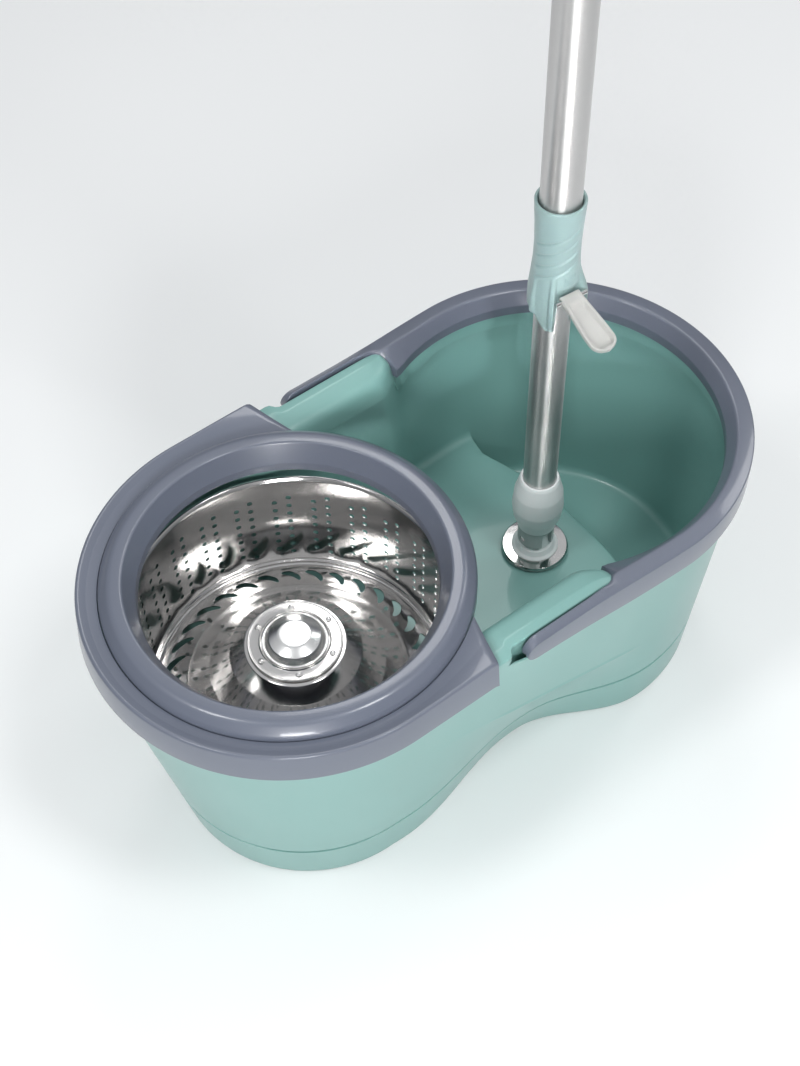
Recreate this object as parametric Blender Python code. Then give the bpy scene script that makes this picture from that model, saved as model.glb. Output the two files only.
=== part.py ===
"""Spin mop: a two-lobe bucket with a spin basket, a carrying bail and a press-to-spin mop pole.

All sizes below are in millimetres; mesh_object() turns them into metres. +X points from the
basket to the wash well, +Z is up, and the origin is the centre of the footprint on the floor.
"""

from math import cos, pi, radians, sin, sqrt

import bmesh
import bpy
from mathutils import Matrix, Vector

MM = 0.001
GAP = 0.3

# Bucket
BASKET_X = -111.0
WELL_X = 110.0
BODY_TOP = 212.0
BASE_LEFT_R, TOP_LEFT_R = 98.0, 131.5
BASE_RIGHT_R, TOP_RIGHT_R = 112.0, 133.0
BASE_DRIFT_LEFT, BASE_DRIFT_RIGHT = 4.0, 5.0
WAIST_IN = 26.0
WAIST_TOP = 120.0
WALL = 3.0
PLATEAU_Z = 77.0
MOAT_DEPTH = 52.0
LEDGE_Z = 191.0
LEDGE_IN = 8.0
WELL_RIM_Z = 198.0
FOLD_Z = 186.0
SHELF_R = 256.5
ARC_STEPS, SIDE_STEPS = 14, 14

# Deck and splash ring
DECK_END_X = -48.5
DECK_EDGE_ANGLE = 52.0
SKIRT_R, SKIRT_Z = 136.5, 203.0
DECK_R, DECK_Z = 134.8, 226.0
DECK_HOLE_R, DECK_INNER_Z = 121.0, 222.5

# Spin basket
BASKET_RIM_Z = 191.0
HUB_R, HUB_Z = 32.0, 147.6
FLOOR_SLOTS, SLOT_CIRCLE_R, SLOT_SLANT = 24, 89.0, 38.0
RIVETS, RIVET_CIRCLE_R, RIVET_R = 6, 27.5, 1.2
PILLAR_SCREWS, SCREW_CIRCLE_R, SCREW_R = 4, 24.0, 1.8
AXLE_R = 5.0

# Bail
PIVOT_X, PIVOT_Z = -16.0, 202.0
PIVOT_PIN_R = 3.0
BAIL_OUT = 137.5
ARM_OUT, ARM_IN = 136.5, 125.2
ARM_HALF_HEIGHT = 9.4
ARM_END_X, BAND_START_X = 46.0, 66.0
BAND_IN, BAND_WIDENING = 122.0, 40.0

# Mop
MOP_X = 102.5
FOOT_R, FOOT_Z = 25.0, 80.0
SPINDLE_R = 3.0
KNUCKLE_Z = 98.0
KNUCKLE_PIN_R = 2.4
BLADE_THICK, BLADE_R = 8.0, 8.0
FORK_R = 13.3
BULB_Z = 108.3
TUBE_SEAT_Z = 124.0
LOWER_TUBE_R, LOWER_TUBE_TOP = 11.9, 745.0
UPPER_TUBE_R, UPPER_TUBE_BORE = 12.9, 12.25
UPPER_TUBE_Z, UPPER_TUBE_TOP = 338.0, 1140.0
TUBE_WALL = 0.9
ROD_Z, ROD_TOP, ROD_SIDE, ROD_LEAD = 470.0, 915.0, 6.0, 60.0
ANCHOR_Z = 905.0
SLEEVE_Z, SLEEVE_TOP = 324.0, 421.0
LEVER_AZIMUTH = -95.0
LEVER_PIVOT_OUT, LEVER_PIVOT_Z = 17.2, 352.0
LEVER_LENGTH, LEVER_WIDTH, LEVER_OPEN = 42.0, 16.0, 77.0
LEVER_PIN_R = 1.7
GRIP_Z, GRIP_TOP, GRIP_R = 985.0, 1132.0, 15.5

# Turns an outline drawn in XY to stand in the YZ plane.
ACROSS = Matrix(((0, 0, 1, 0), (1, 0, 0, 0), (0, 1, 0, 0), (0, 0, 0, 1)))

FINISHES = {
    "mint_plastic": ((0.36, 0.60, 0.52), 0.35, 0.0),
    "slate_plastic": ((0.21, 0.23, 0.31), 0.35, 0.0),
    "grey_plastic": ((0.45, 0.50, 0.49), 0.45, 0.0),
    "white_plastic": ((0.76, 0.75, 0.71), 0.40, 0.0),
    "steel": ((0.72, 0.71, 0.69), 0.15, 1.0),
    "chromed_plastic": ((0.80, 0.80, 0.80), 0.10, 1.0),
    "foam": ((0.10, 0.11, 0.13), 0.90, 0.0),
}


def clear_scene():
    for item in list(bpy.data.objects):
        bpy.data.objects.remove(item)


def finish(name):
    """The named material, made the first time it is asked for."""
    found = bpy.data.materials.get(name)
    if found:
        return found
    colour, roughness, metallic = FINISHES[name]
    made = bpy.data.materials.new(name)
    made.use_nodes = True
    shader = made.node_tree.nodes["Principled BSDF"]
    shader.inputs["Base Color"].default_value = (*colour, 1.0)
    shader.inputs["Roughness"].default_value = roughness
    shader.inputs["Metallic"].default_value = metallic
    return made


def mesh_object(name, points, faces, material, origin=(0, 0, 0)):
    """A closed body from points in millimetres, with its object's origin at the point given."""
    mesh = bpy.data.meshes.new(name)
    shell = bmesh.new()
    verts = [shell.verts.new((Vector(p) - Vector(origin)) * MM) for p in points]
    for face in faces:
        shell.faces.new([verts[k] for k in face])
    bmesh.ops.recalc_face_normals(shell, faces=shell.faces)
    shell.to_mesh(mesh)
    shell.free()
    mesh.shade_smooth()
    mesh.set_sharp_from_angle(angle=radians(35))
    item = bpy.data.objects.new(name, mesh)
    item.location = Vector(origin) * MM
    bpy.context.collection.objects.link(item)
    if material:
        mesh.materials.append(finish(material))
    return item


def loft(name, loops, material, origin=(0, 0, 0)):
    """A body through loops of equal length, with a cap on the first and on the last."""
    count = len(loops[0])
    points = [p for loop in loops for p in loop]
    faces = []
    for k in range(len(loops) - 1):
        here, there = k * count, (k + 1) * count
        for j in range(count):
            after = (j + 1) % count
            faces.append((here + j, here + after, there + after, there + j))
    faces.append(tuple(range(count)))
    faces.append(tuple(len(points) - count + j for j in range(count)))
    return mesh_object(name, points, faces, material, origin)


def turned(name, profile, material, centre=(0, 0), segments=24, origin_z=0.0):
    """A solid of revolution about a vertical axis. A profile that starts and ends on the axis is a
    plug; any other is a closed ring."""
    points, rows = [], []
    for radius, z in profile:
        steps = 1 if radius == 0 else segments
        rows.append([len(points) + k for k in range(steps)])
        for k in range(steps):
            turn = 2 * pi * k / segments
            points.append((centre[0] + radius * cos(turn), centre[1] + radius * sin(turn), z))
    pairs = list(zip(rows, rows[1:]))
    if len(rows[0]) > 1:
        pairs.append((rows[-1], rows[0]))
    faces = []
    for low, high in pairs:
        for k in range(segments):
            after = (k + 1) % segments
            corners = [low[k % len(low)], low[after % len(low)], high[after % len(high)], high[k % len(high)]]
            face = tuple(dict.fromkeys(corners))
            if len(face) > 2:
                faces.append(face)
    return mesh_object(name, points, faces, material, (centre[0], centre[1], origin_z))


def rod_between(name, start, end, radius, material, segments=16, origin=None):
    """A plain cylinder between two points."""
    along = (Vector(end) - Vector(start)).normalized()
    side = along.orthogonal().normalized()
    other = along.cross(side)
    loops = []
    for middle in (Vector(start), Vector(end)):
        turns = [2 * pi * k / segments for k in range(segments)]
        loops.append([middle + radius * (side * cos(t) + other * sin(t)) for t in turns])
    return loft(name, loops, material, start if origin is None else origin)


def prism(name, outline, thickness, placing, material, origin=(0, 0, 0)):
    """A flat outline in the placing's XY plane, thickened evenly to both sides along its Z."""
    loops = []
    for height in (-thickness / 2, thickness / 2):
        loops.append([placing @ Vector((x, y, height)) for x, y in outline])
    return loft(name, loops, material, origin)


def boolean(item, tool, operation="DIFFERENCE"):
    """Cuts or joins with a guide body that isn't itself part of the mop."""
    step = item.modifiers.new(operation.lower(), "BOOLEAN")
    step.operation = operation
    step.object = tool
    tool.hide_render = True
    tool.display_type = "WIRE"


def posts_on_circle(name, centre, circle_r, count, radius, low, high, segments=8):
    """One guide body of equal upright posts, for cutting a ring of holes."""
    points, faces = [], []
    for place in ring_places(centre, circle_r, count):
        for z in (low, high):
            for k in range(segments):
                turn = 2 * pi * k / segments
                points.append((place[0] + radius * cos(turn), place[1] + radius * sin(turn), z))
        base = len(points) - 2 * segments
        for k in range(segments):
            after = (k + 1) % segments
            faces.append((base + k, base + after, base + segments + after, base + segments + k))
        faces.append(tuple(base + k for k in range(segments)))
        faces.append(tuple(base + segments + k for k in range(segments)))
    return mesh_object(name, points, faces, None)


def ring_places(centre, circle_r, count, start=0.0):
    places = []
    for k in range(count):
        turn = radians(start) + 2 * pi * k / count
        places.append((centre[0] + circle_r * cos(turn), centre[1] + circle_r * sin(turn)))
    return places


def ease(value, low, high):
    """0 below low, 1 above high and smooth between."""
    t = min(1.0, max(0.0, (value - low) / (high - low)))
    return t * t * (3 - 2 * t)


# ---------------------------------------------------------------- bucket


def stations():
    """The places around the bucket: (end centre 0 or 1 or None, angle, side fraction, side sign)."""
    places = []
    for k in range(ARC_STEPS + 1):
        places.append((0, pi / 2 + pi * k / ARC_STEPS, 0.0, 0))
    for k in range(1, SIDE_STEPS):
        places.append((None, 0.0, k / SIDE_STEPS, -1))
    for k in range(ARC_STEPS + 1):
        places.append((1, -pi / 2 + pi * k / ARC_STEPS, 1.0, 0))
    for k in range(1, SIDE_STEPS):
        places.append((None, 0.0, 1 - k / SIDE_STEPS, 1))
    return places


def body_ends(z):
    """The outer wall's two end circles at a height: left x and radius, right x and radius."""
    up = z / BODY_TOP
    return (
        BASKET_X + BASE_DRIFT_LEFT * (1 - up),
        BASE_LEFT_R + (TOP_LEFT_R - BASE_LEFT_R) * up,
        WELL_X + BASE_DRIFT_RIGHT * (1 - up),
        BASE_RIGHT_R + (TOP_RIGHT_R - BASE_RIGHT_R) * up,
    )


def waist(station):
    """1 in the middle of the waist, 0 around both ends."""
    return sin(pi * station[2]) ** 2


def side_x(station):
    """Roughly where along the bucket a station is, at any height."""
    return BASKET_X + (WELL_X - BASKET_X) * station[2]


def body_point(station, z, inset, height=None):
    """A point of the outer wall at height z, moved in by inset, and optionally lifted to another height."""
    left_x, left_r, right_x, right_r = body_ends(z)
    end, angle, along, sign = station
    z_at = z if height is None else height
    if end is not None:
        middle, radius = (left_x, left_r) if end == 0 else (right_x, right_r)
        return (middle + (radius - inset) * cos(angle), (radius - inset) * sin(angle), z_at)
    pinch = WAIST_IN * max(0.0, 1 - z / WAIST_TOP) ** 1.3
    half = left_r + (right_r - left_r) * along - inset - pinch * waist(station)
    return (left_x + (right_x - left_x) * along, sign * half, z_at)


def ledge(station):
    """How far the wall steps in above the ledge, where the bail's arms lie."""
    x = side_x(station)
    if station[0] is not None:
        return 0.0
    return LEDGE_IN * ease(x, -42, -34) * (1 - ease(x, 62, 85))


def rim_height(station):
    """How far the rim drops below the shoulder, under the bail's wide band."""
    if station[0] == 0:
        return 0.0
    if station[0] == 1:
        return BODY_TOP - WELL_RIM_Z
    x = side_x(station)
    low = BODY_TOP - LEDGE_Z - 1
    return low * ease(x, 28, 46) - (low - (BODY_TOP - WELL_RIM_Z)) * ease(x, 80, 105)


# The top sheet's loops over the rim and down the inside: inset and height around the ends,
# then the further inset and rise at the middle of the waist, where the shoulders are.
SHOULDER_LOOPS = (
    (2.0, 211.0, 0.0, 1.5),
    (5.5, 212.0, 10.0, 3.0),
    (8.0, 209.0, 17.0, 4.5),
    (8.3, 203.0, 20.5, 4.0),
    (8.5, 196.0, 21.5, 1.5),
)
INNER_WALL = ((185.0, 7.5, 22.0), (150.0, 5.0, 19.0), (100.0, 3.0, 13.0), (PLATEAU_Z, 3.0, 7.0))


def inner_inset(z):
    """The inner wall's inset at a height: around the ends, and the further inset at the waist."""
    rows = INNER_WALL + ((PLATEAU_Z - MOAT_DEPTH, 3.0, 3.0),)
    if z >= rows[0][0]:
        return rows[0][1:]
    for (z1, a1, b1), (z2, a2, b2) in zip(rows, rows[1:]):
        if z >= z2:
            t = (z - z2) / (z1 - z2)
            return a2 + (a1 - a2) * t, b2 + (b1 - b2) * t
    return rows[-1][1:]


def moat(station):
    """1 where the wash well is deep, 0 where the raised floor reaches the wall."""
    if station[0] != 1:
        return 0.0
    return ease(cos(station[1]), 0.10, 0.50)


def shelf_point(station, margin, z, floor_inset):
    """The edge of the raised floor: an arc about the basket across the well, elsewhere beside the wall."""
    end, angle = station[:2]
    wall = body_point(station, PLATEAU_Z, floor_inset)
    if end != 1:
        return (wall[0], wall[1], z)
    across = WELL_X - BASKET_X
    arc = sqrt((SHELF_R + margin) ** 2 - (across * sin(angle)) ** 2) - across * cos(angle)
    reach = min(arc, sqrt((wall[0] - WELL_X) ** 2 + wall[1] ** 2))
    return (WELL_X + reach * cos(angle), reach * sin(angle), z)


def top_sheet(places):
    """The bucket's outside, rim and inside, from the floor line to the raised floor's edge."""
    loops = [[body_point(s, 0, 1.5) for s in places]]
    for z in (1.5, 40.0, 80.0, WAIST_TOP, LEDGE_Z):
        loops.append([body_point(s, z, 0) for s in places])
    loops.append([body_point(s, LEDGE_Z, ledge(s), LEDGE_Z + 0.5) for s in places])
    shoulder_foot = [
        body_point(s, BODY_TOP, ledge(s) + 0.8, min(207.0, BODY_TOP - rim_height(s) - 1.5) + 0.6)
        for s in places
    ]
    loops.append(shoulder_foot)
    for inset, height, waist_in, rise in SHOULDER_LOOPS:
        loop = []
        for s in places:
            depth = max(inset + waist_in * waist(s), ledge(s) + inset * 0.6 + 0.9)
            level = height + rise * waist(s)
            drop = min(rim_height(s), max(0.0, level - LEDGE_Z - 1 + inset * 0.1))
            loop.append(body_point(s, BODY_TOP, depth, level - drop))
        loops.append(loop)
    for z, inset, waist_in in INNER_WALL:
        loops.append([body_point(s, z, max(inset + waist_in * waist(s), ledge_inside(s, z))) for s in places])
    return loops


def ledge_inside(station, z):
    """Keeps the wall behind the ledge at its full thickness."""
    return ledge(station) + WALL if z > 150 else 0.0


def floor_loops(places, lower):
    """The wash well's deep floor and the raised floor's edge; lower moves all of it down by the wall."""
    drop = WALL if lower else 0.0
    bottom, foot, edge = [], [], []
    for s in places:
        level = PLATEAU_Z - MOAT_DEPTH * moat(s) - drop
        inset, waist_in = inner_inset(PLATEAU_Z - MOAT_DEPTH * moat(s))
        outward = inset + waist_in * waist(s) + 6 * (1 - moat(s))
        bottom.append(body_point(s, PLATEAU_Z - MOAT_DEPTH * moat(s), outward + (2 if lower else 0), level))
        foot.append(shelf_point(s, 5 - drop, level, outward + 12))
        edge.append(shelf_point(s, -drop, PLATEAU_Z - drop, outward + 18))
    return [bottom, foot, edge]


def under_sheet(places):
    """The hollow underside, from the foot up inside the wall and down behind the shoulders."""
    loops = [[body_point(s, 0, 5.0) for s in places]]
    folds = []
    for s in places:
        base = PLATEAU_Z - MOAT_DEPTH * moat(s) - WALL
        folds.append(base + (FOLD_Z - base) * ease(waist(s), 0.10, 0.28))
    for part in (0.25, 0.5, 0.75, 1.0):
        loops.append([body_point(s, top * part, WALL) for s, top in zip(places, folds)])
    for part in (0.0, 0.33, 0.67, 1.0):
        loop = []
        for s, top in zip(places, folds):
            base = PLATEAU_Z - MOAT_DEPTH * moat(s) - WALL
            z = top + (base - top) * part
            inset, waist_in = inner_inset(z)
            depth = max(inset + waist_in * waist(s) - WALL, WALL + 0.8 + 0.8 * part)
            loop.append(body_point(s, z, depth))
        loops.append(loop)
    return loops


def make_bucket():
    places = stations()
    outside = top_sheet(places) + floor_loops(places, False)
    inside = under_sheet(places) + floor_loops(places, True)
    shell = loft("bucket_shell", outside[::-1] + inside, "mint_plastic")
    screw_holes = posts_on_circle(
        "guide_screw_holes", (BASKET_X, 0), SCREW_CIRCLE_R, PILLAR_SCREWS, SCREW_R + GAP, 70, 80
    )
    boolean(shell, screw_holes)
    bore = SPINDLE_R + GAP
    spindle_hole = ((0, 70), (bore, 70), (bore, 80), (0, 80))
    boolean(shell, turned("guide_spindle_hole", spindle_hole, None, (MOP_X, 0), 16))
    for side, name in ((-1, "front"), (1, "back")):
        hole = rod_between(
            "guide_pivot_hole_" + name,
            (PIVOT_X, side * 111, PIVOT_Z),
            (PIVOT_X, side * 130, PIVOT_Z),
            PIVOT_PIN_R + GAP,
            None,
        )
        boolean(shell, hole)


# ---------------------------------------------------------------- deck and ring


def make_deck():
    """The C-shaped cover over the basket end: a skirt, a crease and a top that falls to the ring."""
    steps = 12
    columns = []
    for k in range(steps + 1):
        part = k / steps
        angle = radians(-DECK_EDGE_ANGLE - (90 - DECK_EDGE_ANGLE) * part)
        columns.append((angle, (DECK_END_X - BASKET_X) * (1 - part), -pi / 2))
    for k in range(1, 3 * steps + 1):
        angle = -pi / 2 - pi * k / (3 * steps)
        columns.append((angle, 0.0, angle))
    for k in range(1, steps + 1):
        part = k / steps
        angle = radians(-270 - (90 - DECK_EDGE_ANGLE) * part)
        columns.append((angle, (DECK_END_X - BASKET_X) * part, -3 * pi / 2))
    loops = []
    for inner_angle, shift, outer_angle in columns:
        loops.append(
            [deck_point(shift, outer_angle, r, z) for r, z in ((SKIRT_R, SKIRT_Z), (DECK_R, DECK_Z - 2))]
            + [deck_point(shift, outer_angle, DECK_R - 2, DECK_Z)]
            + [deck_point(0, inner_angle, DECK_HOLE_R, z) for z in (DECK_INNER_Z, DECK_INNER_Z - 2.5)]
            + [deck_point(shift, outer_angle, DECK_R - 3, DECK_Z - 3)]
            + [deck_point(shift, outer_angle, SKIRT_R - 2.8, SKIRT_Z)]
        )
    loft("basket_deck", loops, "slate_plastic")


def deck_point(shift, angle, radius, z):
    return (BASKET_X + shift + radius * cos(angle), radius * sin(angle), z)


def make_ring():
    """The rolled splash ring round the basket's mouth, hollow underneath."""
    outer = ((120.5, 213.0), (120.5, 222.0), (117.5, 228.0), (109.0, 230.5), (101.5, 227.5))
    mouth = ((97.5, 218.5), (96.3, 211.5), (98.3, 211.5), (100.2, 219.5))
    inner = ((103.5, 225.8), (109.0, 228.0), (115.5, 226.0), (118.2, 221.0), (118.2, 213.0))
    turned("splash_ring", outer + mouth + inner, "slate_plastic", (BASKET_X, 0), 40)


# ---------------------------------------------------------------- spin basket


def floor_height(radius):
    """The basket floor's top face: a shallow rim, then a cone up to the hub."""
    knots = ((103.0, 98.2), (96.0, 98.6), (76.0, 108.0), (60.0, 122.0), (45.0, 138.0))
    knots += ((33.0, 147.2), (10.0, 147.2))
    for (r1, z1), (r2, z2) in zip(knots, knots[1:]):
        if radius >= r2:
            return z2 + (z1 - z2) * (radius - r2) / (r1 - r2)
    return knots[-1][1]


def make_basket():
    steel = 1.2
    cone = [(r, floor_height(r)) for r in (96.0, 76.0, 60.0, 45.0, 33.0)]
    profile = [(12.0, HUB_Z - 0.4)] + cone[::-1]
    profile += [(101.5, 98.6), (102.8, 101.0), (104.6, BASKET_RIM_Z - 2.5), (105.0, BASKET_RIM_Z)]
    profile += [(107.5, BASKET_RIM_Z + 0.8), (109.0, BASKET_RIM_Z - 1.2), (108.2, BASKET_RIM_Z - 3.4)]
    profile += [(105.9, BASKET_RIM_Z - 3.8), (104.1, 101.0), (103.0, 98.0), (101.8, 97.2)]
    profile += [(r, z - steel) for r, z in cone] + [(12.0, HUB_Z - 0.4 - steel)]
    basket = turned("spin_basket", profile, "steel", (BASKET_X, 0), 36)
    boolean(basket, floor_slots())
    holes = posts_on_circle(
        "guide_rivet_holes", (BASKET_X, 0), RIVET_CIRCLE_R, RIVETS, RIVET_R + GAP, 138, 152
    )
    boolean(basket, holes)
    carrier = make_carrier(steel)
    boolean(carrier, holes)
    flange = ((23.0, HUB_Z), (HUB_R, HUB_Z), (HUB_R + 0.6, HUB_Z + 1.0), (HUB_R, HUB_Z + 2.0))
    flange += ((23.0, HUB_Z + 2.2),)
    hub = turned("hub_flange", flange, "steel", (BASKET_X, 0), 24)
    boolean(hub, holes)
    dome = ((0, HUB_Z), (22.6, HUB_Z), (22.6, HUB_Z + 2.5), (20.5, HUB_Z + 5.5), (15.0, HUB_Z + 8.5))
    dome += ((7.0, HUB_Z + 10.0), (0, HUB_Z + 10.3))
    turned("hub_dome", dome, "chromed_plastic", (BASKET_X, 0), 24)
    rivet = ((0, 142.0), (RIVET_R, 142.0), (RIVET_R, HUB_Z + 2.5), (2.3, HUB_Z + 2.5))
    rivet += ((1.8, HUB_Z + 3.6), (0, HUB_Z + 3.9))
    for k, (x, y) in enumerate(ring_places((BASKET_X, 0), RIVET_CIRCLE_R, RIVETS), 1):
        turned("hub_rivet_%d" % k, rivet, "steel", (x, y), 8)


def floor_slots():
    """One guide body of the drain slots in the basket's floor, all slanted the same way."""
    outline = ((-8, -2.2), (-5, -3), (8, -1.2), (8, 1.2), (-5, 3), (-8, 2.2))
    points, faces = [], []
    for k in range(FLOOR_SLOTS):
        turn = Matrix.Rotation(2 * pi * k / FLOOR_SLOTS, 4, "Z")
        slant = Matrix.Rotation(radians(SLOT_SLANT), 4, "Z")
        place = turn @ Matrix.Translation((SLOT_CIRCLE_R, 0, 0)) @ slant
        base = len(points)
        for z in (92.0, 112.0):
            for x, y in outline:
                point = place @ Vector((x, y, z))
                points.append((BASKET_X + point.x, point.y, z))
        count = len(outline)
        for j in range(count):
            after = (j + 1) % count
            faces.append((base + j, base + after, base + count + after, base + count + j))
        faces.append(tuple(base + j for j in range(count)))
        faces.append(tuple(base + count + j for j in range(count)))
    return mesh_object("guide_floor_slots", points, faces, None)


def make_carrier(steel):
    """The moulded cone that backs the steel floor and carries the bush."""
    thick = 2.4
    radii = (74.0, 60.0, 45.0, 33.0)
    top = [(r, floor_height(r) - steel - GAP) for r in radii]
    under = [(r, z - thick) for r, z in top[::-1]]
    crown = HUB_Z - 0.4 - steel - GAP
    profile = top + [(9.0, crown), (9.0, 122.0), (12.0, 122.0), (12.0, crown - thick)] + under
    return turned("basket_carrier", profile, "grey_plastic", (BASKET_X, 0), 24)


def make_spindle_parts():
    """What the basket turns on: a screwed-down pillar, a fixed axle, a ball and the bush that rides on it."""
    centre = (BASKET_X, 0)
    base = PLATEAU_Z + GAP
    pillar = ((AXLE_R + 0.05, base), (32.0, base), (32.0, base + 3), (17.0, base + 4.5), (13.0, 96.0))
    pillar += ((10.5, 117.0), (AXLE_R + 0.05, 117.0))
    post = turned("basket_pillar", pillar, "grey_plastic", centre, 24)
    bore = SCREW_R + GAP
    holes = posts_on_circle("guide_pillar_holes", centre, SCREW_CIRCLE_R, PILLAR_SCREWS, bore, 70, 95)
    boolean(post, holes)
    head = base + 4.2
    for k, (x, y) in enumerate(ring_places(centre, SCREW_CIRCLE_R, PILLAR_SCREWS), 1):
        screw = ((0, 72.0), (SCREW_R, 72.5), (SCREW_R, head), (3.6, head), (3.2, head + 1.8), (0, head + 2.2))
        turned("pillar_screw_%d" % k, screw, "steel", (x, y), 8)
    axle = ((0, base + 0.3), (AXLE_R, base + 0.3), (AXLE_R, 133.0), (4.2, 134.0), (0, 134.0))
    turned("basket_axle", axle, "steel", centre, 24)
    ball_r, ball_z = 3.0, 137.3
    ball = [(0, ball_z - ball_r)]
    ball += [(ball_r * cos(a), ball_z + ball_r * sin(a)) for a in (-1.05, -0.52, 0.0, 0.52, 1.05)]
    turned("thrust_ball", ball + [(0, ball_z + ball_r)], "steel", centre, 12)
    bore = AXLE_R + 0.06
    bush = ((0, 140.6), (bore, 140.6), (bore, 119.5), (8.7, 119.5), (8.7, HUB_Z - 2.4), (0, HUB_Z - 2.4))
    turned("axle_bush", bush, "white_plastic", centre, 24)


# ---------------------------------------------------------------- bail


def bail_section(x, band):
    """The bail's section as (distance out, height): a solid arm near the pivots, a hollow band
    round the well."""
    inner = BAND_IN
    if x < WELL_X:
        inner -= BAND_WIDENING * sin(pi * (x - BASKET_X) / (WELL_X - BASKET_X)) ** 2
    arm = ((ARM_OUT, 193.5), (ARM_OUT, 209.5), (134.8, 211.4), (127.0, 211.4), (ARM_IN, 209.5))
    arm += ((ARM_IN, 194.5), (127.0, 192.6), (131.0, 192.6), (134.8, 192.6))
    wide = ((BAIL_OUT, 192.5), (BAIL_OUT, 212.5), (135.8, 215.3), (inner + 6.5, 216.5))
    wide += ((inner - 1.0, 200.2), (inner + 1.3, 199.4), (inner + 8.0, 213.6))
    wide += ((134.9, 212.6), (134.9, 192.5))
    return [(a[0] + (b[0] - a[0]) * band, a[1] + (b[1] - a[1]) * band) for a, b in zip(arm, wide)]


def make_bail():
    columns = []
    for k in range(5):
        columns.append((PIVOT_X - ARM_HALF_HEIGHT * cos(pi / 8 * k), sin(pi / 8 * k)))
    for x in (0, 20, 40, 46, 50, 54, 58, 62, 66, 76, 86, 98):
        columns.append((x, 1.0))
    loops = [bail_loop(x, squash, -1) for x, squash in columns]
    for k in range(21):
        angle = -pi / 2 + pi * k / 20
        loops.append([(WELL_X + n * cos(angle), n * sin(angle), z) for n, z in bail_section(WELL_X, 1.0)])
    loops += [bail_loop(x, squash, 1) for x, squash in columns[::-1]]
    bail = loft("bail_handle", loops, "slate_plastic", (PIVOT_X, 0, PIVOT_Z))
    for side, name in ((-1, "front"), (1, "back")):
        hole = rod_between(
            "guide_bail_hole_" + name,
            (PIVOT_X, side * 120, PIVOT_Z),
            (PIVOT_X, side * 134.4, PIVOT_Z),
            PIVOT_PIN_R + GAP,
            None,
        )
        boolean(bail, hole)
        rod_between(
            "pivot_pin_" + name,
            (PIVOT_X, side * 112, PIVOT_Z),
            (PIVOT_X, side * 134, PIVOT_Z),
            PIVOT_PIN_R,
            "grey_plastic",
        )


def bail_loop(x, squash, side):
    """One section of a straight stretch; squash rounds the arm's end off about the pivot."""
    band = ease(x, ARM_END_X, BAND_START_X)
    loop = []
    for out, z in bail_section(x, band):
        loop.append((x, side * out, PIVOT_Z + (z - PIVOT_Z) * max(squash, 0.25)))
    return loop


# ---------------------------------------------------------------- mop


def make_wash_turntable():
    centre = (MOP_X, 0)
    pin = ((0, 72.0), (SPINDLE_R, 72.0), (SPINDLE_R, 85.0), (2.0, 86.0), (0, 86.0))
    turned("wash_spindle", pin, "steel", centre, 16)
    bore = SPINDLE_R + 0.08
    plate = ((bore, PLATEAU_Z + 0.5), (23.0, PLATEAU_Z + 0.5), (24.0, PLATEAU_Z + 1.3))
    plate += ((23.0, 79.4), (bore, 79.6))
    turned("wash_turntable", plate, "grey_plastic", centre, 24)


def make_foot():
    centre = (MOP_X, 0)
    disc = ((6.2, FOOT_Z), (FOOT_R - 0.8, FOOT_Z), (FOOT_R, FOOT_Z + 1.0), (FOOT_R - 0.6, FOOT_Z + 2.2))
    disc += ((FOOT_R - 2.5, FOOT_Z + 1.8), (13.0, FOOT_Z + 2.2), (6.2, FOOT_Z + 2.4))
    turned("foot_disc", disc, "steel", centre, 32)
    socket = SPINDLE_R + 0.5
    stub = ((0, 87.0), (socket, 87.0), (socket, 80.2), (5.9, 80.2), (5.9, 82.7), (11.8, 82.7), (11.3, 84.0))
    stub += ((8.2, 88.3), (0, 88.3))
    base = turned("foot_stub", stub, "grey_plastic", centre, 24)
    outline = [(-BLADE_R, 87.6), (BLADE_R, 87.6)]
    outline += [(BLADE_R * cos(pi * k / 12), KNUCKLE_Z + BLADE_R * sin(pi * k / 12)) for k in range(13)]
    outline = [(y, z - KNUCKLE_Z) for y, z in outline]
    placing = Matrix.Translation((MOP_X, 0, KNUCKLE_Z)) @ ACROSS
    blade = prism("guide_blade", outline, BLADE_THICK, placing, None)
    boolean(base, blade, "UNION")
    hole = rod_between(
        "guide_blade_eye", (MOP_X - 20, 0, KNUCKLE_Z), (MOP_X + 20, 0, KNUCKLE_Z), KNUCKLE_PIN_R + 0.05, None
    )
    boolean(base, hole)
    rod_between(
        "knuckle_pin", (MOP_X - 12.6, 0, KNUCKLE_Z), (MOP_X + 12.6, 0, KNUCKLE_Z), KNUCKLE_PIN_R, "steel"
    )


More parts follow.
